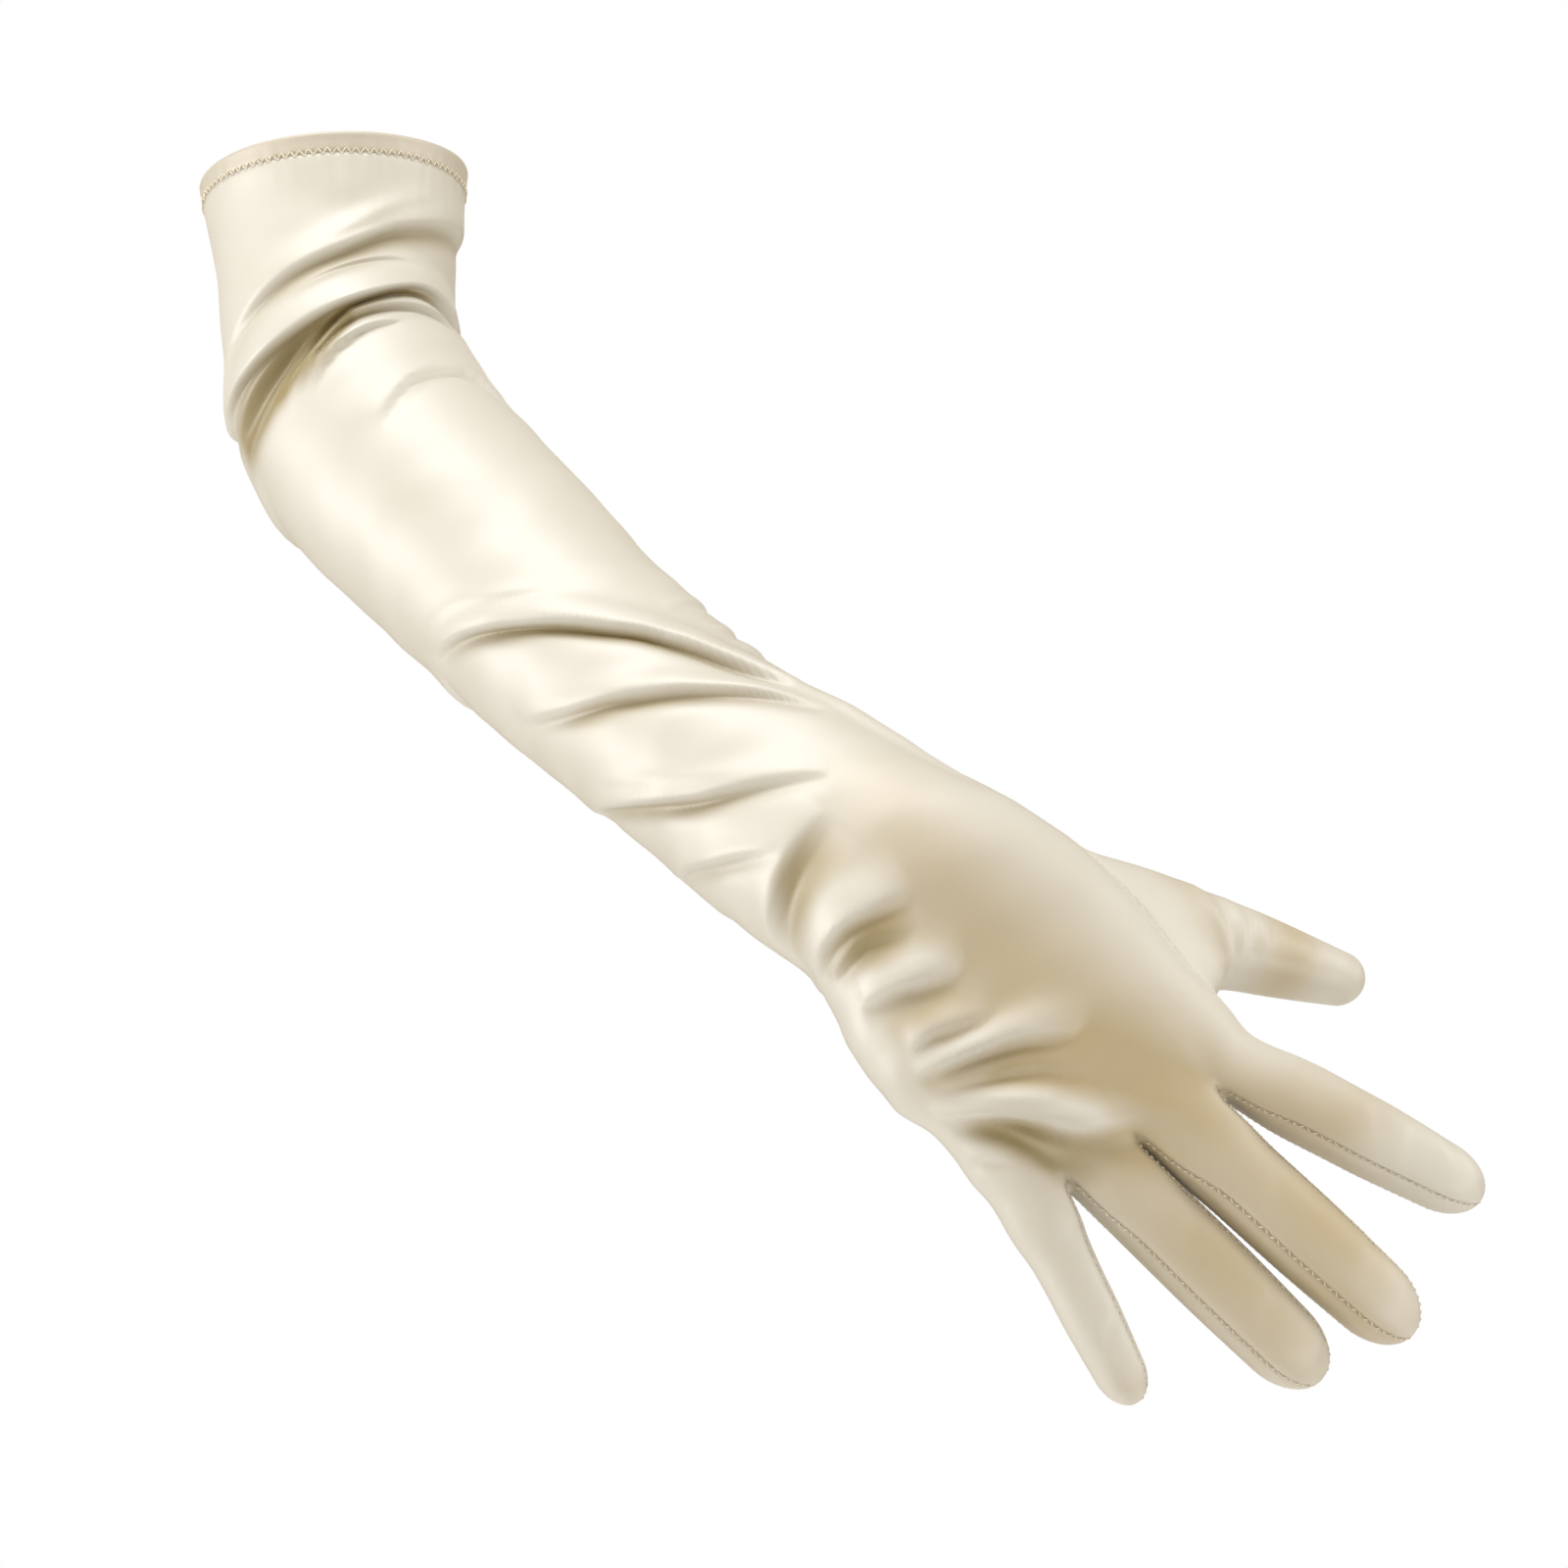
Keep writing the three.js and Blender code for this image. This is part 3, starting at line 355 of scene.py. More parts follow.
def direction_at(along):
    swing = np.radians(smooth_column(ROUTE, "along", ROUTE["swing"], along))
    reach = np.radians(smooth_column(ROUTE, "along", ROUTE["reach"], along))
    return np.stack(
        [np.sin(swing) * np.cos(reach), -np.sin(reach), -np.cos(swing) * np.cos(reach)], axis=-1)


def centre_line():
    """The centre line, summed from short steps along the path."""
    places = np.linspace(0, 3, ROUTE_STEPS + 1)
    steps = direction_at((places[1:] + places[:-1]) / 2) * np.diff(length_at(places))[:, None]
    return places, np.vstack([np.zeros(3), np.cumsum(steps, axis=0)])


ROUTE_PLACES, ROUTE_POINTS = centre_line()


def centre_at(along):
    return np.stack([np.interp(along, ROUTE_PLACES, ROUTE_POINTS[:, k]) for k in range(3)], axis=-1)


def axes_at(along):
    """The section's own axes: side to the thumb, front to the back of the hand, and forward."""
    forward = direction_at(along)
    side = unit(np.cross([0.0, -1.0, 0.0], forward))
    front = np.cross(forward, side)
    roll = np.radians(smooth_column(ROUTE, "along", ROUTE["roll"], along))[..., None]
    turned_side = side * np.cos(roll) - front * np.sin(roll)
    turned_front = front * np.cos(roll) + side * np.sin(roll)
    return turned_side, turned_front, forward


def rounded_power(value, power):
    return np.sign(value) * np.abs(value) ** (2 / power)


def section_point(along, around):
    side, front, _ = axes_at(along)

    def half(size, share):
        return smooth_column(SECTIONS, "along", SECTIONS[size] * SECTIONS[share], along)

    power = smooth_column(SECTIONS, "along", SECTIONS["power"], along)
    cosine = np.cos(np.radians(around))
    sine = np.sin(np.radians(around))
    wide = np.where(cosine >= 0, half("width", "thumb"), half("width", "little"))
    deep = np.where(sine >= 0, half("depth", "front"), half("depth", "back"))
    across = (wide * rounded_power(cosine, power))[..., None] * side
    through = (deep * rounded_power(sine, power))[..., None] * front
    return centre_at(along) + across + through


def outwards(along, around):
    """The way out of the sleeve, square to its surface without the folds."""
    across = section_point(along, around + SLOPE_STEP) - section_point(along, around - SLOPE_STEP)
    return unit(np.cross(across, direction_at(along)))


def smooth_path(points, samples):
    """Evenly counted points on a smooth curve through a few chosen ones."""
    points = np.asarray(points, float)
    padded = np.vstack([2 * points[0] - points[1], points, 2 * points[-1] - points[-2]])
    places = np.linspace(0, len(points) - 1, samples + 1)
    i = np.minimum(places.astype(int), len(points) - 2)
    t = (places - i)[:, None]
    a, b, c, d = (padded[i + k] for k in range(4))
    bend = (2 * a - 5 * b + 4 * c - d) * t**2
    twist = (3 * b - a - 3 * c + d) * t**3
    return 0.5 * (2 * b + (c - a) * t + bend + twist)


def path_frame(line, x, y):
    """For each place: its signed distance below the line, its share of the line and the way below."""
    best = np.full(x.shape, np.inf)
    below, share, way_x, way_y = np.zeros((4, *x.shape))
    count = len(line) - 1
    for i in range(count):
        run = line[i + 1] - line[i]
        size = np.hypot(*run)
        t = np.clip(((x - line[i][0]) * run[0] + (y - line[i][1]) * run[1]) / size**2, 0, 1)
        off_x = x - line[i][0] - t * run[0]
        off_y = y - line[i][1] - t * run[1]
        distance = np.hypot(off_x, off_y)
        nearer = distance < best
        best = np.where(nearer, distance, best)
        side = np.sign(run[1] * off_x - run[0] * off_y)
        below = np.where(nearer, side * distance, below)
        share = np.where(nearer, (i + t) / count, share)
        way_x = np.where(nearer, run[1] / size, way_x)
        way_y = np.where(nearer, -run[0] / size, way_y)
    return below, share, way_x, way_y


def sleeve_place(along, around):
    return np.array([length_at(along), np.radians(around) * ARM_WIDTH / 2])


def sleeve_frame(path, along, around):
    """The frame of a path over the sleeve, which is laid flat for it."""
    line = smooth_path([sleeve_place(*point) for point in path], FOLD_SAMPLES)
    return path_frame(line, *sleeve_place(along, around))


def fold_field(fold, along, around):
    """The cloth's height, slide and painted shade from one fold: a gentle ridge, steep towards its tuck.
    """
    rise, tuck, spread, lean, path = fold
    width = spread * FOLD_WIDTH
    below, share, way_x, way_y = sleeve_frame(path, along, around)
    fade = np.sin(np.pi * share) ** FOLD_FADE
    steep = np.where(below > 0, STEEP_SIDE, 1.0)
    ridge = rise * np.exp(-((below / (steep * width)) ** 2))
    from_tuck = below / width - TUCK_PLACE
    opening = np.where(from_tuck > 0, TUCK_GENTLE, TUCK_STEEP)
    valley = tuck * np.exp(-((from_tuck / opening) ** 2))
    push = FOLD_DEPTH * lean * fade * np.exp(-((below / (LEAN_SPREAD * width)) ** 2))
    # Painted shade: the colour darkens over the tuck and further down its gentle side, where shade falls.
    dim = np.where(from_tuck > 0, DIM_REACH * TUCK_GENTLE, TUCK_STEEP)
    shade = fade * tuck * np.exp(-((from_tuck / dim) ** 2))
    return np.stack([FOLD_DEPTH * fade * (ridge - valley), push * way_x, push * way_y, shade])


def sleeve_folds(along, around):
    """The folds' fields over the sleeve, counted on the turn of the arm nearest to each fold."""
    total = np.zeros((4, *along.shape))
    for fold in FOLDS:
        path = fold[-1]
        middle = path[len(path) // 2][1]
        total += fold_field(fold, along, around + 360 * np.round((middle - around) / 360))
    return total


def sleeve_sheen_shade(along, around):
    """How deep the painted shade is over the sleeve."""
    painted_sheen_shade = np.zeros(along.shape)
    near_front = (around + 90) % 360 - 90
    for strength, spread, path in SHEEN_SHADE_BANDS:
        below, share, _, _ = sleeve_frame(path, along, near_front)
        fade = np.sin(np.pi * share) ** FOLD_FADE
        painted_sheen_shade += strength * fade * np.exp(-((below / (spread * FOLD_WIDTH)) ** 2))
    return painted_sheen_shade


# Soft unevenness of the cloth: waves as (length, around, height, phase), in millimetres,
# with around counted in whole waves about the arm.
WAVES = [
    (61, 2, 0.22, 0.4),
    (37, 3, 0.14, 1.9),
    (23, -4, 0.09, 3.1),
    (15, 5, 0.06, 0.7),
    (17, -7, 0.04, 5.2),
]


def wave_height(along, around):
    turn = np.radians(around)
    length = length_at(along)
    return sum(
        height * np.sin(2 * np.pi * length / size + count * turn + phase)
        for size, count, height, phase in WAVES)


# Small puckers hang from the hem's stitches: waves about the arm as (count, share of height, phase).
PUCKER_HEIGHT = 0.1
PUCKER_REACH = 11
PUCKERS = [(31, 0.6, 0.3), (43, 1.0, 1.7), (57, 0.6, 4.0)]


def pucker_height(along, around):
    turn = np.radians(around)
    shape = sum(height * np.sin(count * turn + phase) for count, height, phase in PUCKERS)
    depth = np.maximum(length_at(along) - HEM_HEIGHT, 0) / PUCKER_REACH
    return PUCKER_HEIGHT * shape * np.exp(-depth) * smoothstep(length_at(along), 0, HEM_HEIGHT)


def uneven_height(along, around):
    return wave_height(along, around) + pucker_height(along, around)


# Ring columns: the fronts of four fingers, the little finger's side, their backs, the thumb's side.
FRONT_END = 4 * FINGER_COLUMNS
LITTLE_END = FRONT_END + SIDE_COLUMNS
BACK_END = LITTLE_END + 4 * FINGER_COLUMNS


def angle_of_side(side, power):
    return np.degrees(np.arccos(np.sign(side) * np.abs(side) ** (power / 2)))


def clustered(share):
    """Shares from 0 to 1 that lie closer together near both ends."""
    return lerp(share, 0.5 - 0.5 * np.cos(np.pi * share), COLUMN_CLUSTER)


def fingers_across(column):
    """How far across the fingers a column lies, 0 at the index finger's edge to 4 at the little one's."""
    column = np.asarray(column)
    front = column / FINGER_COLUMNS
    back = 4 - (column - LITTLE_END) / FINGER_COLUMNS
    across = np.where(column <= FRONT_END, front, np.where(column <= LITTLE_END, 4.0, back))
    across = np.clip(across, 0, 4)
    whole = np.minimum(np.floor(across), 3)
    return whole + clustered(across - whole)


def root_column(key, across):
    return np.interp(across, np.arange(5), ROOTS[key])


def around_of(column, along):
    turn = (column + SIDE_COLUMNS / 2) * 360 / RING
    even = turn + FRONT_CROWD * np.cos(np.radians(turn - CROWD_TURN))
    power = smooth_column(SECTIONS, "along", SECTIONS["power"], along)
    angle = angle_of_side(root_column("side", fingers_across(column)), power)
    hand = np.where(column <= FRONT_END, angle, 360 - angle)
    to_little = (column - FRONT_END) / SIDE_COLUMNS
    on_little = (column > FRONT_END) & (column < LITTLE_END)
    hand = np.where(on_little, lerp(angle, 360 - angle, to_little), hand)
    to_thumb = (column - BACK_END) / SIDE_COLUMNS
    hand = np.where(column > BACK_END, lerp(360 - angle, 360 + angle, to_thumb), hand)
    return lerp(even, hand, smoothstep(along, HAND_COLUMNS_START, THUMB_SEAM_START))


def palm_shift(column, along):
    across = fingers_across(column)
    forward = root_column("forward", across) * PALM_LENGTH * smoothstep(along, ROOT_LINE_START, 3)
    near_root = np.abs(across - np.round(across))
    inner = np.where((across > 0.5) & (across < 3.5), np.cos(np.pi * near_root) ** 2, 0)
    on_back = (column > LITTLE_END) & (column < BACK_END)
    dip = np.where(on_back, 1, -1) * KNUCKLE_DIP * inner * smoothstep(along, KNUCKLE_DIP_START, 3)
    _, front, ahead = axes_at(along)
    return ahead * forward[..., None] + front * dip[..., None]


def ring_points(column, along):
    around = around_of(column, along)
    height, slide_x, slide_y, shade = sleeve_folds(along, around)
    # Painted highlight: the painted shade is taken away along fold crests, where they would catch the
    # light.
    painted_sheen_shade = sleeve_sheen_shade(along, around) - CREST_PAINTED_HIGHLIGHT * np.clip(height / FOLD_DEPTH, 0, 1)
    height = height + uneven_height(along, around)
    along = np.where(slide_x == 0, along, along_at(np.clip(length_at(along) + slide_x, 0, None)))
    around = around + np.degrees(slide_y / (ARM_WIDTH / 2))
    lift = outwards(along, around) * height[..., None]
    surface = section_point(along, around) + lift + palm_shift(column, along)
    return surface, np.stack([shade, painted_sheen_shade], axis=-1)


class Cloth:
    """The outer surface: one cage of quads whose faces know their piece."""

    def __init__(self):
        self.points = []
        self.weave = []
        self.faces = []
        self.pieces = []
        self.soft = {}
        self.thumb_soft = {}
        self.painted_shading = {}
        self.creases = {}

    def add(self, points, weave):
        first = len(self.points)
        self.points.extend(np.asarray(points, float))
        self.weave.extend(np.asarray(weave, float))
        return list(range(first, len(self.points)))

    def face(self, corners, piece):
        self.faces.append(corners)
        self.pieces.append(piece)

    def join(self, ring, next_ring, piece_of_column):
        """Quads between two rings, save in columns that have no piece."""
        for i in range(len(ring)):
            j = (i + 1) % len(ring)
            piece = piece_of_column(i)
            if piece:
                self.face((ring[i], ring[j], next_ring[j], next_ring[i]), piece)


cloth = Cloth()


def ring_places():
    places = [HEM_HEIGHT / UPPER_ARM_LENGTH]
    for end, count in RING_SPANS:
        places += list(np.linspace(places[-1], end, count + 1)[1:])
    return np.array(places)


PLACES = ring_places()
THUMB_FIRST_ROW = int(np.argmin(np.abs(PLACES - THUMB_SEAM_START)))
THUMB_LAST_ROW = int(np.argmin(np.abs(PLACES - THUMB_SEAM_END)))
THUMB_FIRST_COLUMN = BACK_END - FINGER_COLUMNS
THUMB_LAST_COLUMN = RING - SIDE_COLUMNS // 2


def add_sleeve_and_palm():
    along, column = np.meshgrid(PLACES, np.arange(RING), indexing="ij")
    points, painted_shading = ring_points(column, along)
    weave = np.stack([column * np.pi * ARM_WIDTH / RING, length_at(along)], axis=-1)
    rings = [cloth.add(points[row], weave[row]) for row in range(len(PLACES))]
    cloth.painted_shading.update(enumerate(painted_shading.reshape(-1, 2)))
    for row in range(len(rings) - 1):
        beside_thumb = THUMB_FIRST_ROW <= row < THUMB_LAST_ROW

        def piece_of_column(i):
            in_hole = beside_thumb and THUMB_FIRST_COLUMN <= i < THUMB_LAST_COLUMN
            return None if in_hole else "glove_trank"

        cloth.join(rings[row], rings[row + 1], piece_of_column)
    return rings


rings = add_sleeve_and_palm()
last_ring = rings[-1]

# The hand's frame at the finger roots carries the fingers and the thumb.
HAND_SIDE, HAND_FRONT, HAND_FORWARD = axes_at(3.0)
HAND_CENTRE = centre_at(3.0)
REACH = float(length_at(3.0))


def turned(lean, curl, roll):
    a, b, c = np.radians([lean, curl, roll])
    ahead = HAND_FORWARD * np.cos(a) + HAND_SIDE * np.sin(a)
    side = HAND_SIDE * np.cos(a) - HAND_FORWARD * np.sin(a)
    forward = ahead * np.cos(b) - HAND_FRONT * np.sin(b)
    front = HAND_FRONT * np.cos(b) + ahead * np.sin(b)
    return side * np.cos(c) - front * np.sin(c), front * np.cos(c) + side * np.sin(c), forward


def tip_stations(length, tip_length, start, rows, tip_rows):
    """Rings up to a rounded tip: the share of the length and the section's size there."""
    body_end = 1 - tip_length / length
    body = [(lerp(start, body_end, i / rows), 1.0) for i in range(1, rows + 1)]
    turns = [math.pi / 2 * i / (tip_rows + TIP_OPEN_ROWS) for i in range(1, tip_rows + 1)]
    return body + [(lerp(body_end, 1, math.sin(turn)), math.cos(turn)) for turn in turns]


def add_cap(ring, columns, rows_deep, apex, piece):
    """The end of a tube closes with a grid of quads whose border is the last ring."""
    points = np.array(cloth.points)
    grid = np.full((columns + 1, rows_deep + 1), -1)
    grid[:, 0] = ring[:columns + 1]
    grid[columns, :] = ring[columns:columns + rows_deep + 1]
    grid[:, rows_deep] = ring[columns + rows_deep:2 * columns + rows_deep + 1][::-1]
    grid[0, 1:] = ring[2 * columns + rows_deep:][::-1]
    for i in range(1, columns):
        for j in range(1, rows_deep):
            across = lerp(points[grid[0, j]], points[grid[columns, j]], i / columns)
            through = lerp(points[grid[i, 0]], points[grid[i, rows_deep]], j / rows_deep)
            bulge = math.sin(math.pi * i / columns) * math.sin(math.pi * j / rows_deep)
            weave = lerp(cloth.weave[grid[0, j]], cloth.weave[grid[columns, j]], i / columns)
            swollen = lerp((across + through) / 2, apex, TIP_SWELL * bulge)
            grid[i, j] = cloth.add([swollen], [weave])[0]
            cloth.soft[grid[i, j]] = 1.0
    for i in range(columns):
        for j in range(rows_deep):
            cloth.face((grid[i, j], grid[i + 1, j], grid[i + 1, j + 1], grid[i, j + 1]), piece)


def add_webs():
    """The webs between the fingers: points from the front to the back at each gap."""
    webs = []
    shares = np.arange(1, SIDE_COLUMNS)[:, None] / SIDE_COLUMNS
    for gap in (1, 2, 3):
        near = last_ring[gap * FINGER_COLUMNS]
        far = last_ring[LITTLE_END + (4 - gap) * FINGER_COLUMNS]
        points = lerp(cloth.points[near], cloth.points[far], shares)
        rise = WEB_RISE * np.sin(np.pi * shares) * HAND_FORWARD
        weave = np.hstack([shares * FINGER_COLUMNS, np.full_like(shares, REACH)])
        web = cloth.add(points + rise, weave)
        cloth.painted_shading.update(zip(web, lerp(cloth.painted_shading[near], cloth.painted_shading[far], shares)))
        webs.append(web)
    return webs


webs = add_webs()


def finger_root(finger):
    first = finger * FINGER_COLUMNS
    far = LITTLE_END + (3 - finger) * FINGER_COLUMNS
    ring = last_ring[first:first + FINGER_COLUMNS + 1]
    ring = ring + (webs[finger] if finger < 3 else last_ring[FRONT_END + 1:LITTLE_END])
    ring = ring + [last_ring[(far + i) % RING] for i in range(FINGER_COLUMNS + 1)]
    return ring + (webs[finger - 1][::-1] if finger > 0 else last_ring[BACK_END + 1:RING])


def finger_angles():
    """Angles round a finger's section: front, side to the little finger, back, other side."""
    corner = angle_of_side(FINGER_CORNER, FINGER_POWER)
    shares = clustered(np.arange(FINGER_COLUMNS + 1) / FINGER_COLUMNS)
    front = angle_of_side(FINGER_CORNER * (1 - 2 * shares), FINGER_POWER)
    side = lerp(180 - corner, 180 + corner, np.arange(1, SIDE_COLUMNS) / SIDE_COLUMNS)
    half = np.concatenate([front, side])
    return np.concatenate([half, half + 180])


def tube_points(centre, side, front, wide, thick, angles, power):
    across = wide * rounded_power(np.cos(np.radians(angles)), power)
    through = thick * rounded_power(np.sin(np.radians(angles)), power)
    return centre + across[:, None] * side + through[:, None] * front


def piece_of_finger_face(finger, column):
    size = FINGER_COLUMNS + SIDE_COLUMNS
    if FINGER_COLUMNS <= column < size and finger < 3:
        return f"fourchette_{FINGER_NAMES[finger]}_{FINGER_NAMES[finger + 1]}"
    if column >= size + FINGER_COLUMNS and finger > 0:
        return f"fourchette_{FINGER_NAMES[finger - 1]}_{FINGER_NAMES[finger]}"
    return "glove_trank"


# Soft creases on the fingers, one row each: finger, place along it and round it in degrees at
# both ends of the crease, its height in millimetres and its width.
CREASES = [
    (0, 0.42, 40, 0.55, 120, 0.35, 2.2),
    (0, 0.60, 30, 0.66, 130, 0.45, 2.0),
    (0, 0.72, 20, 0.84, 110, 0.3, 2.4),
    (1, 0.30, 60, 0.42, 150, 0.3, 2.6),
    (1, 0.66, 20, 0.74, 120, 0.35, 2.4),
    (1, 0.86, 40, 0.92, 130, 0.3, 1.8),
    (2, 0.28, 40, 0.36, 120, 0.3, 2.6),
    (2, 0.62, 30, 0.70, 120, 0.3, 2.6),
    (2, 0.86, 30, 0.97, 120, 0.5, 1.8),
    (3, 0.15, 30, 0.24, 140, 0.25, 2.2),
    (3, 0.55, 40, 0.66, 120, 0.3, 2.4),
    (0, 0.35, 230, 0.45, 320, 0.6, 2.4),
    (1, 0.38, 230, 0.48, 320, 0.6, 2.4),
    (2, 0.38, 230, 0.48, 320, 0.6, 2.4),
    (3, 0.40, 230, 0.50, 320, 0.5, 2.2),
    (0, 0.62, 230, 0.70, 310, 0.4, 2.0),
    (1, 0.66, 230, 0.74, 310, 0.4, 2.0),
    (2, 0.66, 230, 0.74, 310, 0.4, 2.0),
]


# The thumb's creases, in the same columns but for the finger, and its bands of painted shade: place
# along the thumb, reach and strength.
THUMB_CREASES = [
    (0.31, 10, 0.36, 150, 0.8, 2.4),
    (0.42, 20, 0.46, 160, 0.7, 2.2),
    (0.53, 40, 0.55, 130, 0.4, 2.0),
    (0.70, 30, 0.74, 160, 0.35, 2.6),
    (0.88, 40, 0.90, 150, 0.3, 1.8),
]
THUMB_SHEEN_SHADES = [(0.28, 0.1, 0.4), (0.66, 0.11, 0.75), (0.93, 0.05, 0.15)]
CREASE_STEP = 1.3
CREASE_FADE = 1.5


def crease_height(rows, length, at, angles):
    """The creases' height at one ring of a finger or of the thumb."""
    height = np.zeros(len(angles))
    for at_a, turn_a, at_b, turn_b, rise, width in rows:
        share = (angles % 360 - turn_a) / (turn_b - turn_a)
        fade = np.sin(np.pi * np.clip(share, 0, 1)) ** CREASE_FADE
        below = (at - lerp(at_a, at_b, share)) * length / width
        height += rise * fade * (np.exp(-(below**2)) - np.exp(-((below - CREASE_STEP) ** 2)))
    return height


def finger_sheen_shade(finger, at, angles):
    """How deep the painted shade is at one ring of a finger."""
    painted_sheen_shade = np.zeros(len(angles))
    for owner, place, turn, reach, turn_reach, strength in FINGER_SHEEN_SHADES:
        if owner == finger:
            off_turn = (angles - turn + 180) % 360 - 180
            painted_sheen_shade += strength * np.exp(-(((at - place) / reach) ** 2) - (off_turn / turn_reach) ** 2)
    return painted_sheen_shade


def add_finger(finger):
    row = {name: float(FINGERS[name][finger]) for name in FINGERS}
    root = finger_root(finger)
    base = np.array([cloth.points[i] for i in root])
    root_shade, root_sheen_shade = np.array([cloth.painted_shading[i] for i in root]).T
    start = base.mean(axis=0)
    angles = finger_angles()
    half = HAND_BREADTH / 2
    tip_length = TIP_ROUND * row["end"] * HAND_BREADTH
    creases = [crease[1:] for crease in CREASES if crease[0] == finger]

    def centre_of(at):
        _, _, forward = turned(row["lean"] + row["bend"] * at / 2, row["curl"] * at / 2, 0)
        return start + forward * row["length"] * at

    previous = root
    columns = []
    for at, size in tip_stations(row["length"], tip_length, 0, FINGER_ROWS, TIP_ROWS):
        roll = row["roll"] * smoothstep(at, 0, FINGER_SETTLE)
        side, front, _ = turned(row["lean"] + row["bend"] * at, row["curl"] * at, roll)
        centre = centre_of(at)
        to_mid = lerp(row["root"], row["mid"], smoothstep(at, 0, 0.5))
        share = lerp(to_mid, row["end"], smoothstep(at, 0.5, 1))
        thick = row["thick"] * (1 - FINGER_THINNING * at) * HAND_DEPTH / 2 * size
        own = tube_points(centre, side, front, share * half * size, thick, angles, FINGER_POWER)
        away = unit(own - centre)
        own = own + away * crease_height(creases, row["length"], at, angles)[:, None]
        points = lerp(base + centre - start, own, smoothstep(at, 0, FINGER_SETTLE))
        weave_across = (finger + angles / 360) * HAND_BREADTH
        weave = np.stack([weave_across, np.full(len(angles), REACH + at * row["length"])], axis=-1)
        ring = cloth.add(points, weave)
        # Painted shade of the hand's folds fades out along the finger, and the painted sheen shade turns
        # into the finger's own.
        shade = root_shade * (1 - smoothstep(at, 0, SHADE_REACH))
        painted_sheen_shade = lerp(root_sheen_shade, finger_sheen_shade(finger, at, angles), smoothstep(at, 0, FINGER_SETTLE))
        cloth.painted_shading.update(zip(ring, np.stack([shade, painted_sheen_shade], axis=-1)))
        cloth.join(previous, ring, lambda column: piece_of_finger_face(finger, column))
        cloth.soft.update(dict.fromkeys(ring, 1 - smoothstep(at, *FINGER_SOFT)))
        columns.append(ring)
        previous = ring
    add_cap(previous, FINGER_COLUMNS, SIDE_COLUMNS, centre_of(1), "glove_trank")
    return columns


def thumb_sheen_shade(at):
    """How deep the painted shade is at one ring of the thumb."""
    return sum(
        strength * math.exp(-(((at - place) / reach) ** 2))
        for place, reach, strength in THUMB_SHEEN_SHADES)


def add_thumb():
    """The thumb grows from the border of its hole, walked round in four sides."""
    columns = THUMB_LAST_COLUMN - THUMB_FIRST_COLUMN
    rows_long = THUMB_LAST_ROW - THUMB_FIRST_ROW
    root = [rings[THUMB_FIRST_ROW][THUMB_FIRST_COLUMN + i] for i in range(columns)]
    root += [rings[THUMB_FIRST_ROW + i][THUMB_LAST_COLUMN] for i in range(rows_long)]
    root += [rings[THUMB_LAST_ROW][THUMB_LAST_COLUMN - i] for i in range(columns)]
    root += [rings[THUMB_LAST_ROW - i][THUMB_FIRST_COLUMN] for i in range(rows_long)]
    base = np.array([cloth.points[i] for i in root])
    base_weave = np.array([cloth.weave[i] for i in root])
    start = HAND_CENTRE + HAND_SIDE * THUMB["side"] * HAND_BREADTH
    start = start + HAND_FRONT * THUMB["deep"] * HAND_DEPTH
    start = start + HAND_FORWARD * THUMB["forward"] * PALM_LENGTH
    angles = 360 * (np.arange(len(root)) - columns / 2) / len(root)

    def centre_of(at):
        _, _, forward = turned(THUMB["lean"] + THUMB["bend"] * at / 2, THUMB["tilt"], 0)
        return start + forward * THUMB_LENGTH * at

    def half(key, at):
        return smooth_column(THUMB_SECTIONS, "at", THUMB_SECTIONS[key], at) / 2

    def section_ring(at, size):
        side, front, _ = turned(THUMB["lean"] + THUMB["bend"] * at, THUMB["tilt"], THUMB["roll"])
        wide = half("wide", at) * HAND_BREADTH * size
        thick = half("thick", at) * HAND_DEPTH * size
        return tube_points(centre_of(at), side, front, wide, thick, angles, THUMB_POWER)

    settled = section_ring(THUMB_SETTLE, 1)
    across_hole = base[columns] - base[0]
    along_hole = base[2 * columns + rows_long] - base[0]
    hole_normal = unit(np.cross(across_hole, along_hole))
    _, _, ahead = turned(THUMB["lean"] + THUMB["bend"] / 2, THUMB["tilt"], 0)
    reach = THUMB_LENGTH * THUMB_SETTLE
    leaving = lerp(hole_normal, ahead, THUMB_ROOT_TURN) * THUMB_ROOT_PUSH * reach
    arriving = ahead * THUMB_SETTLE_PUSH * reach
    stations = []
    for i in range(1, THUMB_ROOT_ROWS + 1):
        t = i / THUMB_ROOT_ROWS
        stations.append((t * THUMB_SETTLE, eased(base, settled, leaving, arriving, t)))
    end_width = float(THUMB_SECTIONS["wide"][-1]) * HAND_BREADTH
    tip = tip_stations(THUMB_LENGTH, THUMB_TIP_ROUND * end_width, THUMB_SETTLE, THUMB_END_ROWS, TIP_ROWS)
    stations += [(at, section_ring(at, size)) for at, size in tip]
    previous = root
    for at, points in stations:
        weave = np.stack([base_weave[:, 0], REACH + np.full(len(root), at * THUMB_LENGTH)], axis=-1)
        ring = cloth.add(points, weave)
        cloth.join(previous, ring, lambda column: "thumb")
        cloth.thumb_soft.update(dict.fromkeys(ring, 1 - smoothstep(at, *THUMB_SOFT)))
        cloth.creases.update(zip(ring, crease_height(THUMB_CREASES, THUMB_LENGTH, at, angles)))
        # The thumb carries painted sheen shade but no painted fold shade.
        cloth.painted_shading.update(dict.fromkeys(ring, (0, thumb_sheen_shade(at))))
        previous = ring
    add_cap(previous, columns, rows_long, centre_of(1), "thumb")
    return root


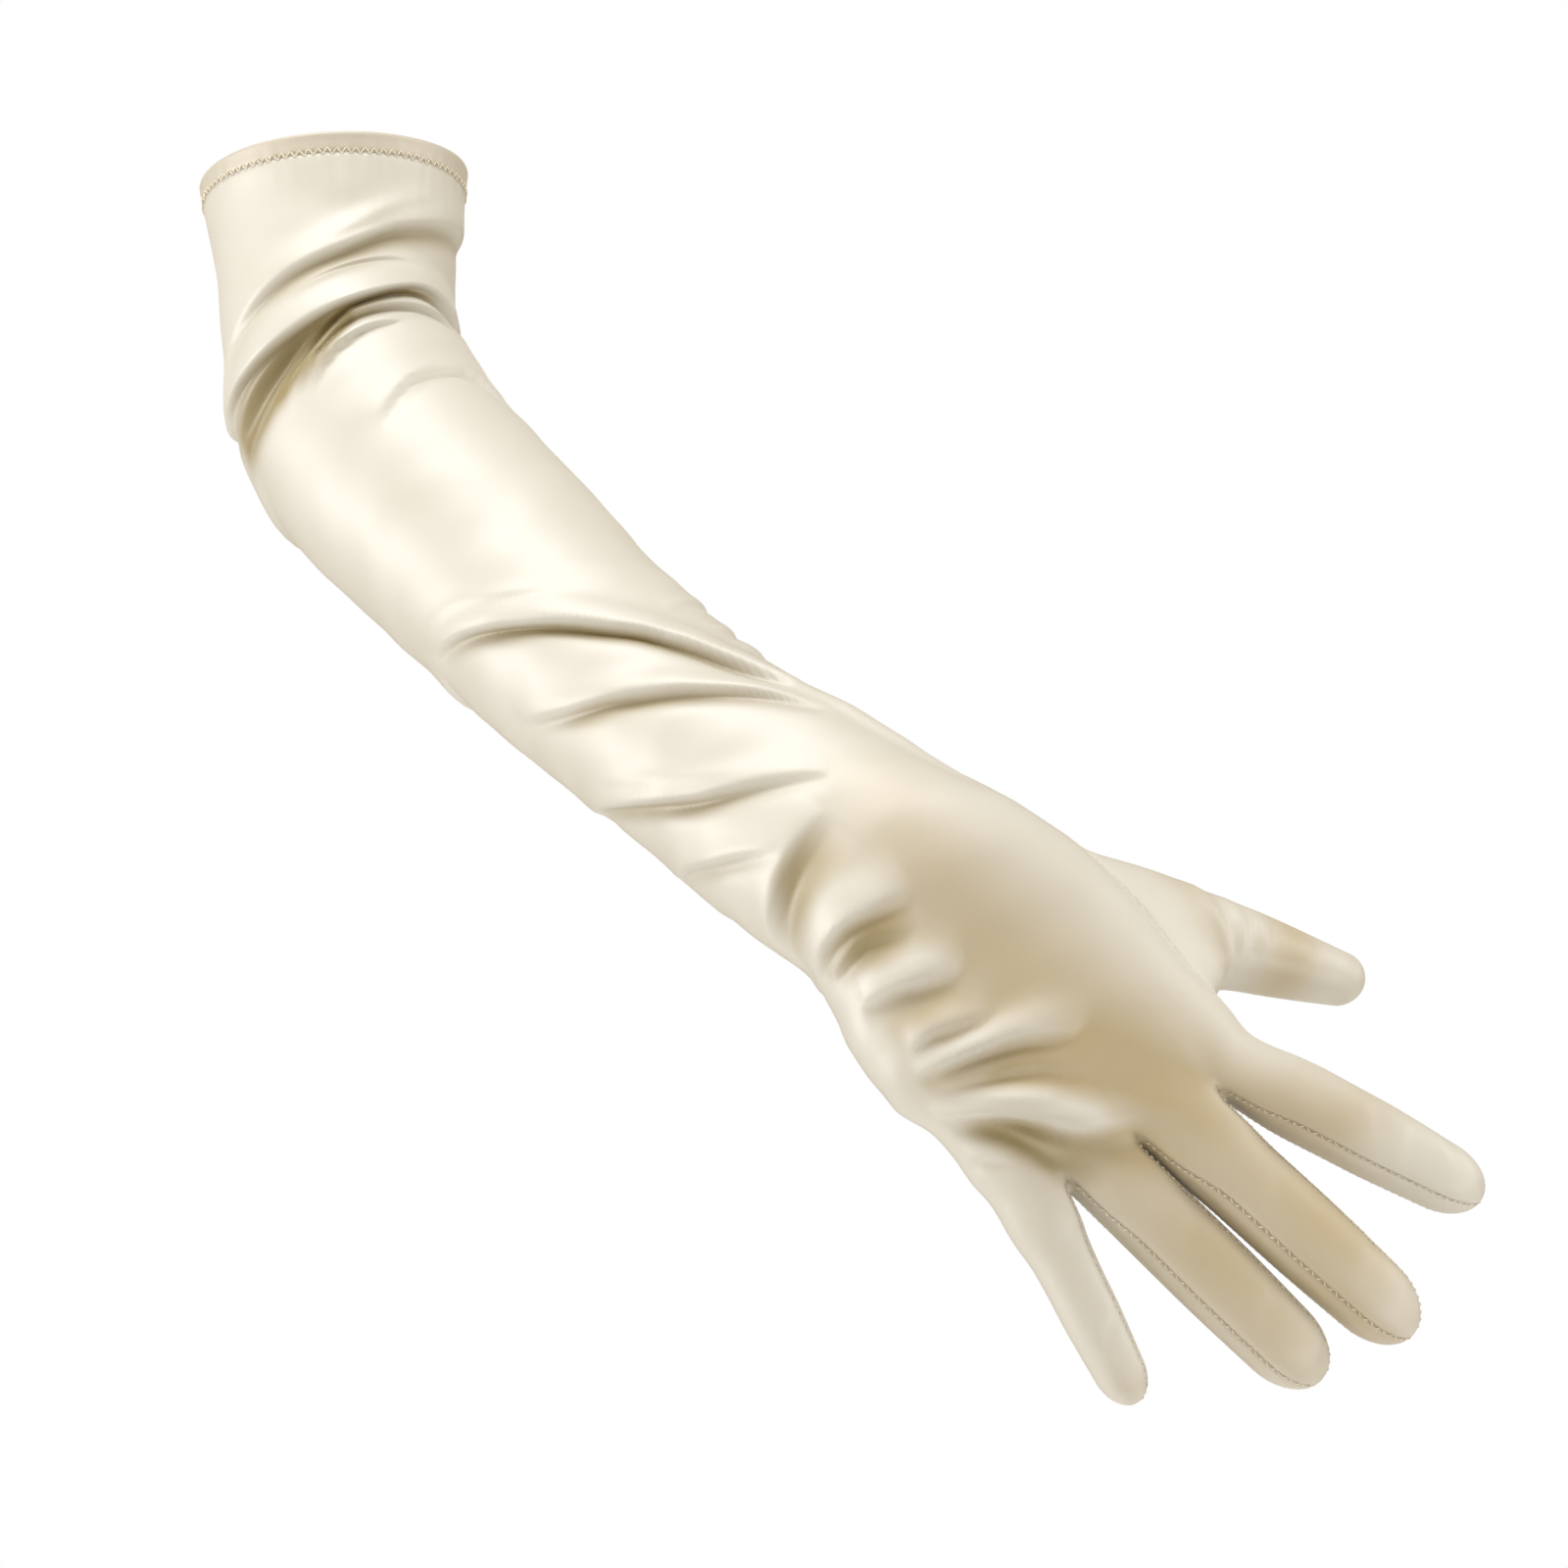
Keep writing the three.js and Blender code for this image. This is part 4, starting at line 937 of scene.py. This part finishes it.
# The surface is evened out in rounds, ever more over the first span, up to the finger roots, and
# ever less over the other two, along the fingers and the thumb.
ROOT_SOFT = (2.9, 3.0)
FINGER_SOFT = (0.02, 0.22)
THUMB_SOFT = (0.3, 0.9)
SOFTEN_ROUNDS = 14
THUMB_SOFTEN_ROUNDS = 60
PAINTED_SHADING_ROUNDS = 4

finger_rings = [add_finger(finger) for finger in range(4)]
thumb_root = add_thumb()
for ring, along in zip(rings, PLACES):
    cloth.soft.update(dict.fromkeys(ring, smoothstep(along, *ROOT_SOFT)))
for web in webs:
    cloth.soft.update(dict.fromkeys(web, 1.0))


def soften(points, faces, soft, rounds):
    """Evens out the marked parts of the surface where tubes and webs meet."""
    a = faces.ravel()
    b = np.roll(faces, -1, axis=1).ravel()
    weight = np.zeros(len(points))
    weight[list(soft)] = list(soft.values())
    degree = np.bincount(a, minlength=len(points)) + np.bincount(b, minlength=len(points))
    degree = np.maximum(degree, 1)[:, None]
    for _ in range(rounds):
        total = np.zeros_like(points)
        np.add.at(total, a, points[b])
        np.add.at(total, b, points[a])
        points = lerp(points, total / degree, 0.5 * weight[:, None])
    return points


def vertex_normals(points, faces):
    corners = points[faces]
    face_normals = np.cross(corners[:, 2] - corners[:, 0], corners[:, 3] - corners[:, 1])
    normals = np.zeros_like(points)
    for k in range(4):
        np.add.at(normals, faces[:, k], face_normals)
    return unit(normals)


faces = np.array(cloth.faces)
piece_of_face = np.array(cloth.pieces)
points = soften(np.array(cloth.points), faces, cloth.soft, SOFTEN_ROUNDS)
points = soften(points, faces, cloth.thumb_soft, THUMB_SOFTEN_ROUNDS)
normals = vertex_normals(points, faces)
creases = np.zeros(len(points))
creases[list(cloth.creases)] = list(cloth.creases.values())
points = points + normals * creases[:, None]
normals = vertex_normals(points, faces)
weave = np.array(cloth.weave)
# The painted fold shade and the painted sheen shade, evened out over the surface.
painted_shading = np.zeros((len(points), 2))
painted_shading[list(cloth.painted_shading)] = list(cloth.painted_shading.values())
painted_shading = soften(painted_shading, faces, dict.fromkeys(range(len(points)), 1.0), PAINTED_SHADING_ROUNDS)
seam_depth = np.full(len(points), SEAM_DEPTH)
seam_depth[rings[0]] = HEM_SEAM_DEPTH


def draw_back(arriving, leaving, count, normal):
    """The way a seam's point is drawn back, square to the seam within the surface."""
    run = arriving + leaving
    if np.linalg.norm(run) > SLIT_TURN:
        return unit(np.cross(normal, run))
    backwards = unit(arriving - leaving)
    return backwards if count > 2 else -backwards


def make_mesh(name, verts, polygons, uvs=None):
    mesh = bpy.data.meshes.new(name)
    mesh.from_pydata(np.asarray(verts) * MM, [], polygons)
    if uvs is not None:
        layer = mesh.uv_layers.new(name="weave")
        layer.data.foreach_set("uv", np.asarray(uvs, float).ravel())
    mesh.validate()
    mesh.polygons.foreach_set("use_smooth", [True] * len(mesh.polygons))
    obj = bpy.data.objects.new(name, mesh)
    bpy.context.scene.collection.objects.link(obj)
    return obj


def piece_mesh(piece, name, wall):
    """One piece: its patch of the surface, turned in at its seams and given its thickness."""
    patch = faces[piece_of_face == piece]
    directed = {(int(a), int(b)) for quad in patch for a, b in zip(quad, np.roll(quad, -1))}
    seams = [(a, b) for a, b in directed if (b, a) not in directed]
    used, local = np.unique(patch, return_inverse=True)
    local = local.reshape(patch.shape)
    index = {int(i): k for k, i in enumerate(used)}
    outer = points[used].copy()
    arriving = {b: unit(points[b] - points[a]) for a, b in seams}
    leaving = {a: unit(points[b] - points[a]) for a, b in seams}
    counts = np.bincount(local.ravel(), minlength=len(used))
    near_seam = set()
    edge = {a for a, _ in seams}
    for quad in patch:
        if any(int(i) in edge for i in quad):
            near_seam.update(int(i) for i in quad)
    for i in near_seam - edge:
        outer[index[i]] -= SEAM_SHOULDER * seam_depth[i] * normals[i]
    for i in edge:
        back = draw_back(arriving[i], leaving[i], counts[index[i]], normals[i])
        outer[index[i]] += SEAM_GAP / 2 * back - seam_depth[i] * normals[i]
    inner = outer - wall * normals[used]
    deep = len(outer)
    polygons = [tuple(quad) for quad in local] + [tuple(quad[::-1] + deep) for quad in local]
    polygons += [(index[b], index[a], index[a] + deep, index[b] + deep) for a, b in seams]
    verts = np.vstack([outer, inner])
    around = np.pi * ARM_WIDTH
    places = np.vstack([weave[used], weave[used]])
    uvs = []
    for polygon in polygons:
        corners = places[list(polygon)]
        if np.ptp(corners[:, 0]) > around / 2:
            corners = corners + np.where(corners[:, :1] < around / 2, [[around, 0.0]], [[0.0, 0.0]])
        uvs.extend(corners)
    obj = make_mesh(name, verts, polygons, np.array(uvs) * MM)
    # The painted fold shade and the painted sheen shade go on the points for the material to read.
    for layer_name, values in zip(("tuck", "painted_sheen_shade"), painted_shading[used].T):
        layer = obj.data.attributes.new(layer_name, "FLOAT", "POINT")
        layer.data.foreach_set("value", np.concatenate([values, values]))
    return obj


# The turned hem: a rounded band swept round the cuff's mouth, as (outwards, down) shares of the
# hem's wall and height.
HEM_PROFILE = [
    (-0.5, 1.0), (-0.16, 0.98), (-0.02, 0.93), (0.02, 0.72), (0.03, 0.5), (0.06, 0.28), (0.14, 0.15),
    (0.15, 0.05), (0.04, -0.03), (-0.2, -0.06), (-0.5, -0.03), (-0.78, 0.06), (-0.95, 0.3), (-1.0, 0.6),
    (-1.0, 0.9), (-0.8, 1.0),
]
HEM_COLUMNS = 220


def hem_mesh(name):
    profile = np.array(HEM_PROFILE)
    turn = np.arange(HEM_COLUMNS) * 360 / HEM_COLUMNS
    along = np.clip(profile[:, 1] * HEM_HEIGHT / UPPER_ARM_LENGTH, 0, None)
    around, place = np.meshgrid(turn, along)
    lift = np.minimum(profile[:, 1], 0)[:, None, None] * HEM_HEIGHT * direction_at(place)
    height = profile[:, 0][:, None] * HEM_WALL + uneven_height(place, around)
    swell = outwards(place, around) * height[..., None]
    verts = (section_point(place, around) + swell + lift).reshape(-1, 3)
    polygons = []
    uvs = []
    step = np.pi * CUFF_WIDTH / HEM_COLUMNS
    for i in range(len(profile)):
        high = i * HEM_COLUMNS
        low = (i + 1) % len(profile) * HEM_COLUMNS
        for j in range(HEM_COLUMNS):
            k = (j + 1) % HEM_COLUMNS
            polygons.append((high + j, low + j, low + k, high + k))
            uvs.extend([(j * step, i), (j * step, i + 1), ((j + 1) * step, i + 1), ((j + 1) * step, i)])
    return make_mesh(name, verts, polygons, np.array(uvs, float) * MM)


# Stitches, in millimetres; the hem's zigzag is in shares of the hem's height and wall.
THREAD_RADIUS = 0.17
THREAD_TAPER = 0.35
STITCH_LENGTH = 1.1
STITCH_PAUSE = 0.9
STITCH_SWAY = 0.7
FINGER_STITCH_LIFT = 0.43
THUMB_STITCH_LIFT = 0.42
HEM_STITCHES = 176
HEM_STITCH_TOP = 0.78
HEM_STITCH_FOOT = 1.12
HEM_STITCH_BOW = 0.14
HEM_STITCH_CLEAR = 0.2
STITCH_SIDES = 6
STITCH_STEPS = 5
STITCH_RUN = 0.1
ASKEW = (0.31, 0.52, 0.79)


def thread_tubes(name, lines, radius):
    """One mesh of short threads, each a closed tapered tube along its own few points."""
    verts = []
    polygons = []
    for line in lines:
        line = np.asarray(line)
        first = len(verts)
        for step, point in enumerate(line):
            ahead = unit(line[min(step + 1, len(line) - 1)] - line[max(step - 1, 0)])
            side = unit(np.cross(ahead, ASKEW))
            up = np.cross(side, ahead)
            size = radius * (THREAD_TAPER if step in (0, len(line) - 1) else 1.0)
            for k in range(STITCH_SIDES):
                turn = 2 * math.pi * k / STITCH_SIDES
                verts.append(point + size * (math.cos(turn) * side + math.sin(turn) * up))
        for step in range(len(line) - 1):
            for k in range(STITCH_SIDES):
                a = first + step * STITCH_SIDES + k
                b = first + step * STITCH_SIDES + (k + 1) % STITCH_SIDES
                polygons.append((a, b, b + STITCH_SIDES, a + STITCH_SIDES))
        polygons.append(tuple(first + k for k in reversed(range(STITCH_SIDES))))
        last = first + (len(line) - 1) * STITCH_SIDES
        polygons.append(tuple(last + k for k in range(STITCH_SIDES)))
    return make_mesh(name, verts, polygons)


def stitch_lines(ids, lift):
    """Stitches along a row of surface points: each arcs out of the cloth and back into it."""
    path = points[ids]
    out = normals[ids]
    steps = np.linalg.norm(np.diff(path, axis=0), axis=1)
    places = np.concatenate([[0], np.cumsum(steps)])

    def at(array, place):
        return np.stack([np.interp(place, places, array[:, k]) for k in range(3)], axis=-1)

    lines = []
    start = STITCH_PAUSE
    side = 1
    share = np.linspace(0, 1, STITCH_STEPS)
    while start + STITCH_LENGTH < places[-1]:
        where = start + STITCH_LENGTH * share
        away = unit(at(out, where))
        run = unit(at(path, where + STITCH_RUN) - at(path, where - STITCH_RUN))
        across = np.cross(away, run)
        arc = lift * np.sin(np.pi * share)[:, None] - SEAM_DEPTH
        sway = STITCH_SWAY * side * (share - 0.5)[:, None]
        lines.append(at(path, where) + away * arc + across * sway)
        start += STITCH_LENGTH + STITCH_PAUSE
        side = -side
    return lines


def finger_seam_ids():
    """The rows of points along each finger's seams with its strips, from root to tip."""
    size = FINGER_COLUMNS + SIDE_COLUMNS
    seams = []
    for finger, loops in enumerate(finger_rings):
        places = [FINGER_COLUMNS, size] if finger < 3 else []
        places += [size + FINGER_COLUMNS, 0] if finger > 0 else []
        seams += [[ring[place] for ring in loops] for place in places]
    return seams


def hem_stitches():
    """A zigzag of thread over the hem's lower edge."""
    lines = []
    turn_step = 360 / HEM_STITCHES
    top = HEM_STITCH_TOP * HEM_HEIGHT / UPPER_ARM_LENGTH
    foot = HEM_STITCH_FOOT * HEM_HEIGHT / UPPER_ARM_LENGTH
    share = np.linspace(0, 1, STITCH_STEPS)
    for i in range(HEM_STITCHES):
        start, end = (top, foot) if i % 2 else (foot, top)
        along = lerp(start, end, share)
        around = (i + share) * turn_step
        bow = HEM_STITCH_BOW * HEM_WALL * (HEM_STITCH_CLEAR + np.sin(np.pi * share))
        height = bow + uneven_height(along, around)
        lines.append(section_point(along, around) + outwards(along, around) * height[:, None])
    return lines


# Materials: colours, then the satin's finish and the sizes of its patterns
SATIN_LIGHT = (0.74, 0.737, 0.705, 1)
SATIN_DEEP = (0.72, 0.712, 0.67, 1)
# Painted shade, where the satin's sheen would not catch the lamps.
SATIN_SHEEN_SHADE = (0.53, 0.445, 0.285, 1)
# Painted shade in the folds' tucks.
SATIN_FOLD_SHADE = (0.33, 0.265, 0.12, 1)
BAND_LIGHT = (0.66, 0.63, 0.56, 1)
BAND_DEEP = (0.62, 0.585, 0.50, 1)
THREAD_LIGHT = (0.92, 0.88, 0.76, 1)
THREAD_DEEP = (0.8, 0.74, 0.6, 1)
SATIN_FINISH = {
    "Roughness": 0.48,
    "Specular IOR Level": 1.0,
    "Anisotropic": 0.4,
    "Coat Weight": 0.45,
    "Coat Roughness": 0.5,
    "Coat IOR": 1.7,
    "Sheen Weight": 0.5,
    "Sheen Roughness": 0.4,
}
THREAD_FINISH = {"Roughness": 0.5, "Sheen Weight": 0.3}
# The painted shade in the folds starts at the first value and is full at the second.
FOLD_SHADE_STARTS = 0.08
FOLD_SHADE_FULL = 0.62
CLOUD_SCALE = 28
CLOUD_LOW = 0.3
CLOUD_HIGH = 0.62
TWILL_PITCH = 0.0007
TWILL_TURN = 27
TWILL_SHARE = 0.02
YARN_SCALE = 1400
TWIST_SCALE = 2600
RELIEF_STRENGTH = 0.05
RELIEF_DEPTH = 0.0002


def feed(tree, node, inputs):
    """Sets a node's inputs: another node's output is linked, and anything else is a value."""
    for name, value in inputs.items():
        if isinstance(value, bpy.types.NodeSocket):
            tree.links.new(value, node.inputs[name])
        else:
            node.inputs[name].default_value = value


def add_node(tree, kind, inputs, **settings):
    node = tree.nodes.new(f"ShaderNode{kind}")
    for name, value in settings.items():
        setattr(node, name, value)
    feed(tree, node, inputs)
    return node


def new_material(name, finish):
    material = bpy.data.materials.new(name)
    material.use_nodes = True
    tree = material.node_tree
    shader = tree.nodes["Principled BSDF"]
    feed(tree, shader, finish)
    return material, tree, shader


def colour_ramp(tree, amount, low, high):
    """A colour between two stops, each a position and its colour."""
    ramp = add_node(tree, "ValToRGB", {"Fac": amount})
    for stop, (position, colour) in zip(ramp.color_ramp.elements, (low, high)):
        stop.position = position
        stop.color = colour
    return ramp.outputs["Color"]


def mixed(tree, factor, a, b, blend="MIX"):
    mix = add_node(tree, "Mix", {"Factor": factor, "A": a, "B": b}, data_type="RGBA", blend_type=blend)
    return mix.outputs["Result"]


def cloth_value(tree, name):
    return add_node(tree, "Attribute", {}, attribute_name=name).outputs["Fac"]


def satin_material(name, light, deep):
    """Satin: soft clouds of tone, a fine twill, painted shade in its folds and where its sheen would not
    catch the lamps, and painted highlights on fold crests.
    """
    material, tree, shader = new_material(name, SATIN_FINISH)
    place = add_node(tree, "TexCoord", {}).outputs["Object"]
    weave = add_node(tree, "UVMap", {}, uv_map="weave").outputs["UV"]
    tangent = add_node(tree, "Tangent", {}, direction_type="UV_MAP", uv_map="weave")
    clouds = add_node(tree, "TexNoise", {"Vector": place, "Scale": CLOUD_SCALE, "Detail": 4})
    cloudy = colour_ramp(tree, clouds.outputs["Fac"], (CLOUD_LOW, deep), (CLOUD_HIGH, light))
    turn = add_node(tree, "Mapping", {"Vector": weave, "Rotation": (0, 0, math.radians(TWILL_TURN))})
    twill_inputs = {
        "Vector": turn.outputs["Vector"],
        "Scale": 2 * math.pi / (20 * TWILL_PITCH),
        "Distortion": 0.6,
        "Detail": 1,
    }
    twill = add_node(tree, "TexWave", twill_inputs, wave_type="BANDS", bands_direction="X")
    yarn = add_node(tree, "TexNoise", {"Vector": place, "Scale": YARN_SCALE, "Detail": 2})
    relief = add_node(tree, "Math", {0: twill.outputs["Fac"], 1: yarn.outputs["Fac"]}, operation="ADD")
    bump_inputs = {
        "Height": relief.outputs["Value"],
        "Strength": RELIEF_STRENGTH,
        "Distance": RELIEF_DEPTH,
    }
    bump = add_node(tree, "Bump", bump_inputs)
    woven = mixed(tree, TWILL_SHARE, cloudy, twill.outputs["Color"], "MULTIPLY")
    # Painted shade and painted highlight: darker where the satin's sheen would not catch the lamps,
    # lighter along fold crests.
    sheen_shaded = mixed(tree, cloth_value(tree, "painted_sheen_shade"), woven, SATIN_SHEEN_SHADE)
    # Painted shade: the satin is darkened towards the brown fold shade colour over the folds' tucks.
    tuck_inputs = {
        "Value": cloth_value(tree, "tuck"),
        "From Min": FOLD_SHADE_STARTS,
        "From Max": FOLD_SHADE_FULL,
    }
    tucked = add_node(tree, "MapRange", tuck_inputs, interpolation_type="SMOOTHSTEP")
    colour = mixed(tree, tucked.outputs["Result"], sheen_shaded, SATIN_FOLD_SHADE)
    feed(tree, shader, {
        "Base Color": colour,
        "Normal": bump.outputs["Normal"],
        "Tangent": tangent.outputs["Tangent"],
    })
    return material


def thread_material(name):
    material, tree, shader = new_material(name, THREAD_FINISH)
    place = add_node(tree, "TexCoord", {}).outputs["Object"]
    twist = add_node(tree, "TexNoise", {"Vector": place, "Scale": TWIST_SCALE})
    colour = colour_ramp(tree, twist.outputs["Fac"], (0, THREAD_DEEP), (1, THREAD_LIGHT))
    feed(tree, shader, {"Base Color": colour})
    return material


satin = satin_material("ivory_satin", SATIN_LIGHT, SATIN_DEEP)
band_satin = satin_material("ivory_satin_band", BAND_LIGHT, BAND_DEEP)
thread = thread_material("ivory_thread")


def dress(obj, material, *nodes):
    obj.data.materials.append(material)
    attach(obj, "root")
    if nodes:
        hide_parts(*nodes)
    return obj


trank = dress(piece_mesh("glove_trank", "trank_satin", SATIN_WALL), satin, "glove_trank")
thumb = dress(piece_mesh("thumb", "thumb_satin", SATIN_WALL), satin, "thumb")
for near, far in zip(FINGER_NAMES, FINGER_NAMES[1:]):
    node = f"fourchette_{near}_{far}"
    dress(piece_mesh(node, f"{node}_satin", SATIN_WALL), satin, node)
hem = dress(hem_mesh("hem_satin"), band_satin, "cuff_hem")

seam_lines = [line for ids in finger_seam_ids() for line in stitch_lines(ids, FINGER_STITCH_LIFT)]
seam_stitches = dress(thread_tubes("finger_seam_stitches", seam_lines, THREAD_RADIUS), thread)
thumb_lines = stitch_lines(thumb_root + thumb_root[:1], THUMB_STITCH_LIFT)
thumb_stitches = dress(thread_tubes("thumb_seam_stitches", thumb_lines, THREAD_RADIUS), thread)
cuff_stitches = dress(thread_tubes("hem_stitches", hem_stitches(), THREAD_RADIUS), thread)

# Floor, light and camera
MIDDLE = (0.12, -0.08, -0.16)
HAND_MIDDLE = (0.25, -0.12, -0.28)
FLOOR_HEIGHT = -0.78
FLOOR_RADIUS = 1.4
FLOOR_SIDES = 96
FLOOR_LIGHT = (0.9, 0.9, 0.9, 1)
FLOOR_DEEP = (0.86, 0.86, 0.86, 1)
FLOOR_GRAIN = 6
FLOOR_FINISH = {"Roughness": 0.8}
# Each light's name, place, what it faces, its width and height, and its power in watts.
LIGHTS = [
    ("key", (-0.15, -0.6, 1.45), MIDDLE, (1.6, 1.0), 26.5),
    ("left_side", (-1.9, -0.55, -0.45), MIDDLE, (0.8, 1.4), 27),
    ("right_side", (1.9, -0.3, 0.5), MIDDLE, (0.7, 1.6), 9.5),
    ("low_fill", (1.0, -0.9, -0.62), HAND_MIDDLE, (0.9, 0.6), 4),
]
AMBIENT_COLOUR = (1, 0.76, 0.38, 1)
AMBIENT_STRENGTH = 0.32
CAMERA_DISTANCE = 2.56
CAMERA_RIGHT = 0.1219
CAMERA_HEIGHT = -0.163
VIEW_WIDTH = 0.424
SENSOR_WIDTH = 36


def studio_floor():
    bpy.ops.mesh.primitive_circle_add(vertices=FLOOR_SIDES, radius=FLOOR_RADIUS, fill_type="NGON",
                                      location=(MIDDLE[0], 0, FLOOR_HEIGHT))
    floor = bpy.context.object
    floor.name = "floor"
    material, tree, shader = new_material("pale_floor", FLOOR_FINISH)
    grain = add_node(tree, "TexNoise", {"Scale": FLOOR_GRAIN})
    colour = colour_ramp(tree, grain.outputs["Fac"], (0, FLOOR_DEEP), (1, FLOOR_LIGHT))
    feed(tree, shader, {"Base Color": colour})
    floor.data.materials.append(material)


def area_light(name, place, target, size, power):
    data = bpy.data.lights.new(name, "AREA")
    data.shape = "RECTANGLE"
    data.size, data.size_y = size
    data.energy = power
    light = bpy.data.objects.new(name, data)
    bpy.context.scene.collection.objects.link(light)
    light.location = place
    ahead = np.array(target) - np.array(place)
    light.rotation_euler = Vector(ahead).to_track_quat("-Z", "Y").to_euler()


def studio_world():
    """White behind the glove, and a dim warm light all round it."""
    world = bpy.data.worlds.new("studio")
    bpy.context.scene.world = world
    world.use_nodes = True
    tree = world.node_tree
    backdrop = tree.nodes["Background"]
    feed(tree, backdrop, {"Color": (1, 1, 1, 1), "Strength": 1.0})
    ambient = add_node(tree, "Background", {"Color": AMBIENT_COLOUR, "Strength": AMBIENT_STRENGTH})
    ray = add_node(tree, "LightPath", {})
    chosen = add_node(tree, "MixShader", {
        "Fac": ray.outputs["Is Camera Ray"],
        1: ambient.outputs["Background"],
        2: backdrop.outputs["Background"],
    })
    feed(tree, tree.nodes["World Output"], {"Surface": chosen.outputs["Shader"]})


def front_camera():
    data = bpy.data.cameras.new("camera")
    data.sensor_width = SENSOR_WIDTH
    data.lens = SENSOR_WIDTH * CAMERA_DISTANCE / VIEW_WIDTH
    camera = bpy.data.objects.new("camera", data)
    bpy.context.scene.collection.objects.link(camera)
    camera.location = (CAMERA_RIGHT, -CAMERA_DISTANCE, CAMERA_HEIGHT)
    camera.rotation_euler = (math.radians(90), 0, 0)
    bpy.context.scene.camera = camera


studio_floor()
for light in LIGHTS:
    area_light(*light)
studio_world()
front_camera()
bpy.context.scene.view_settings.view_transform = "Standard"
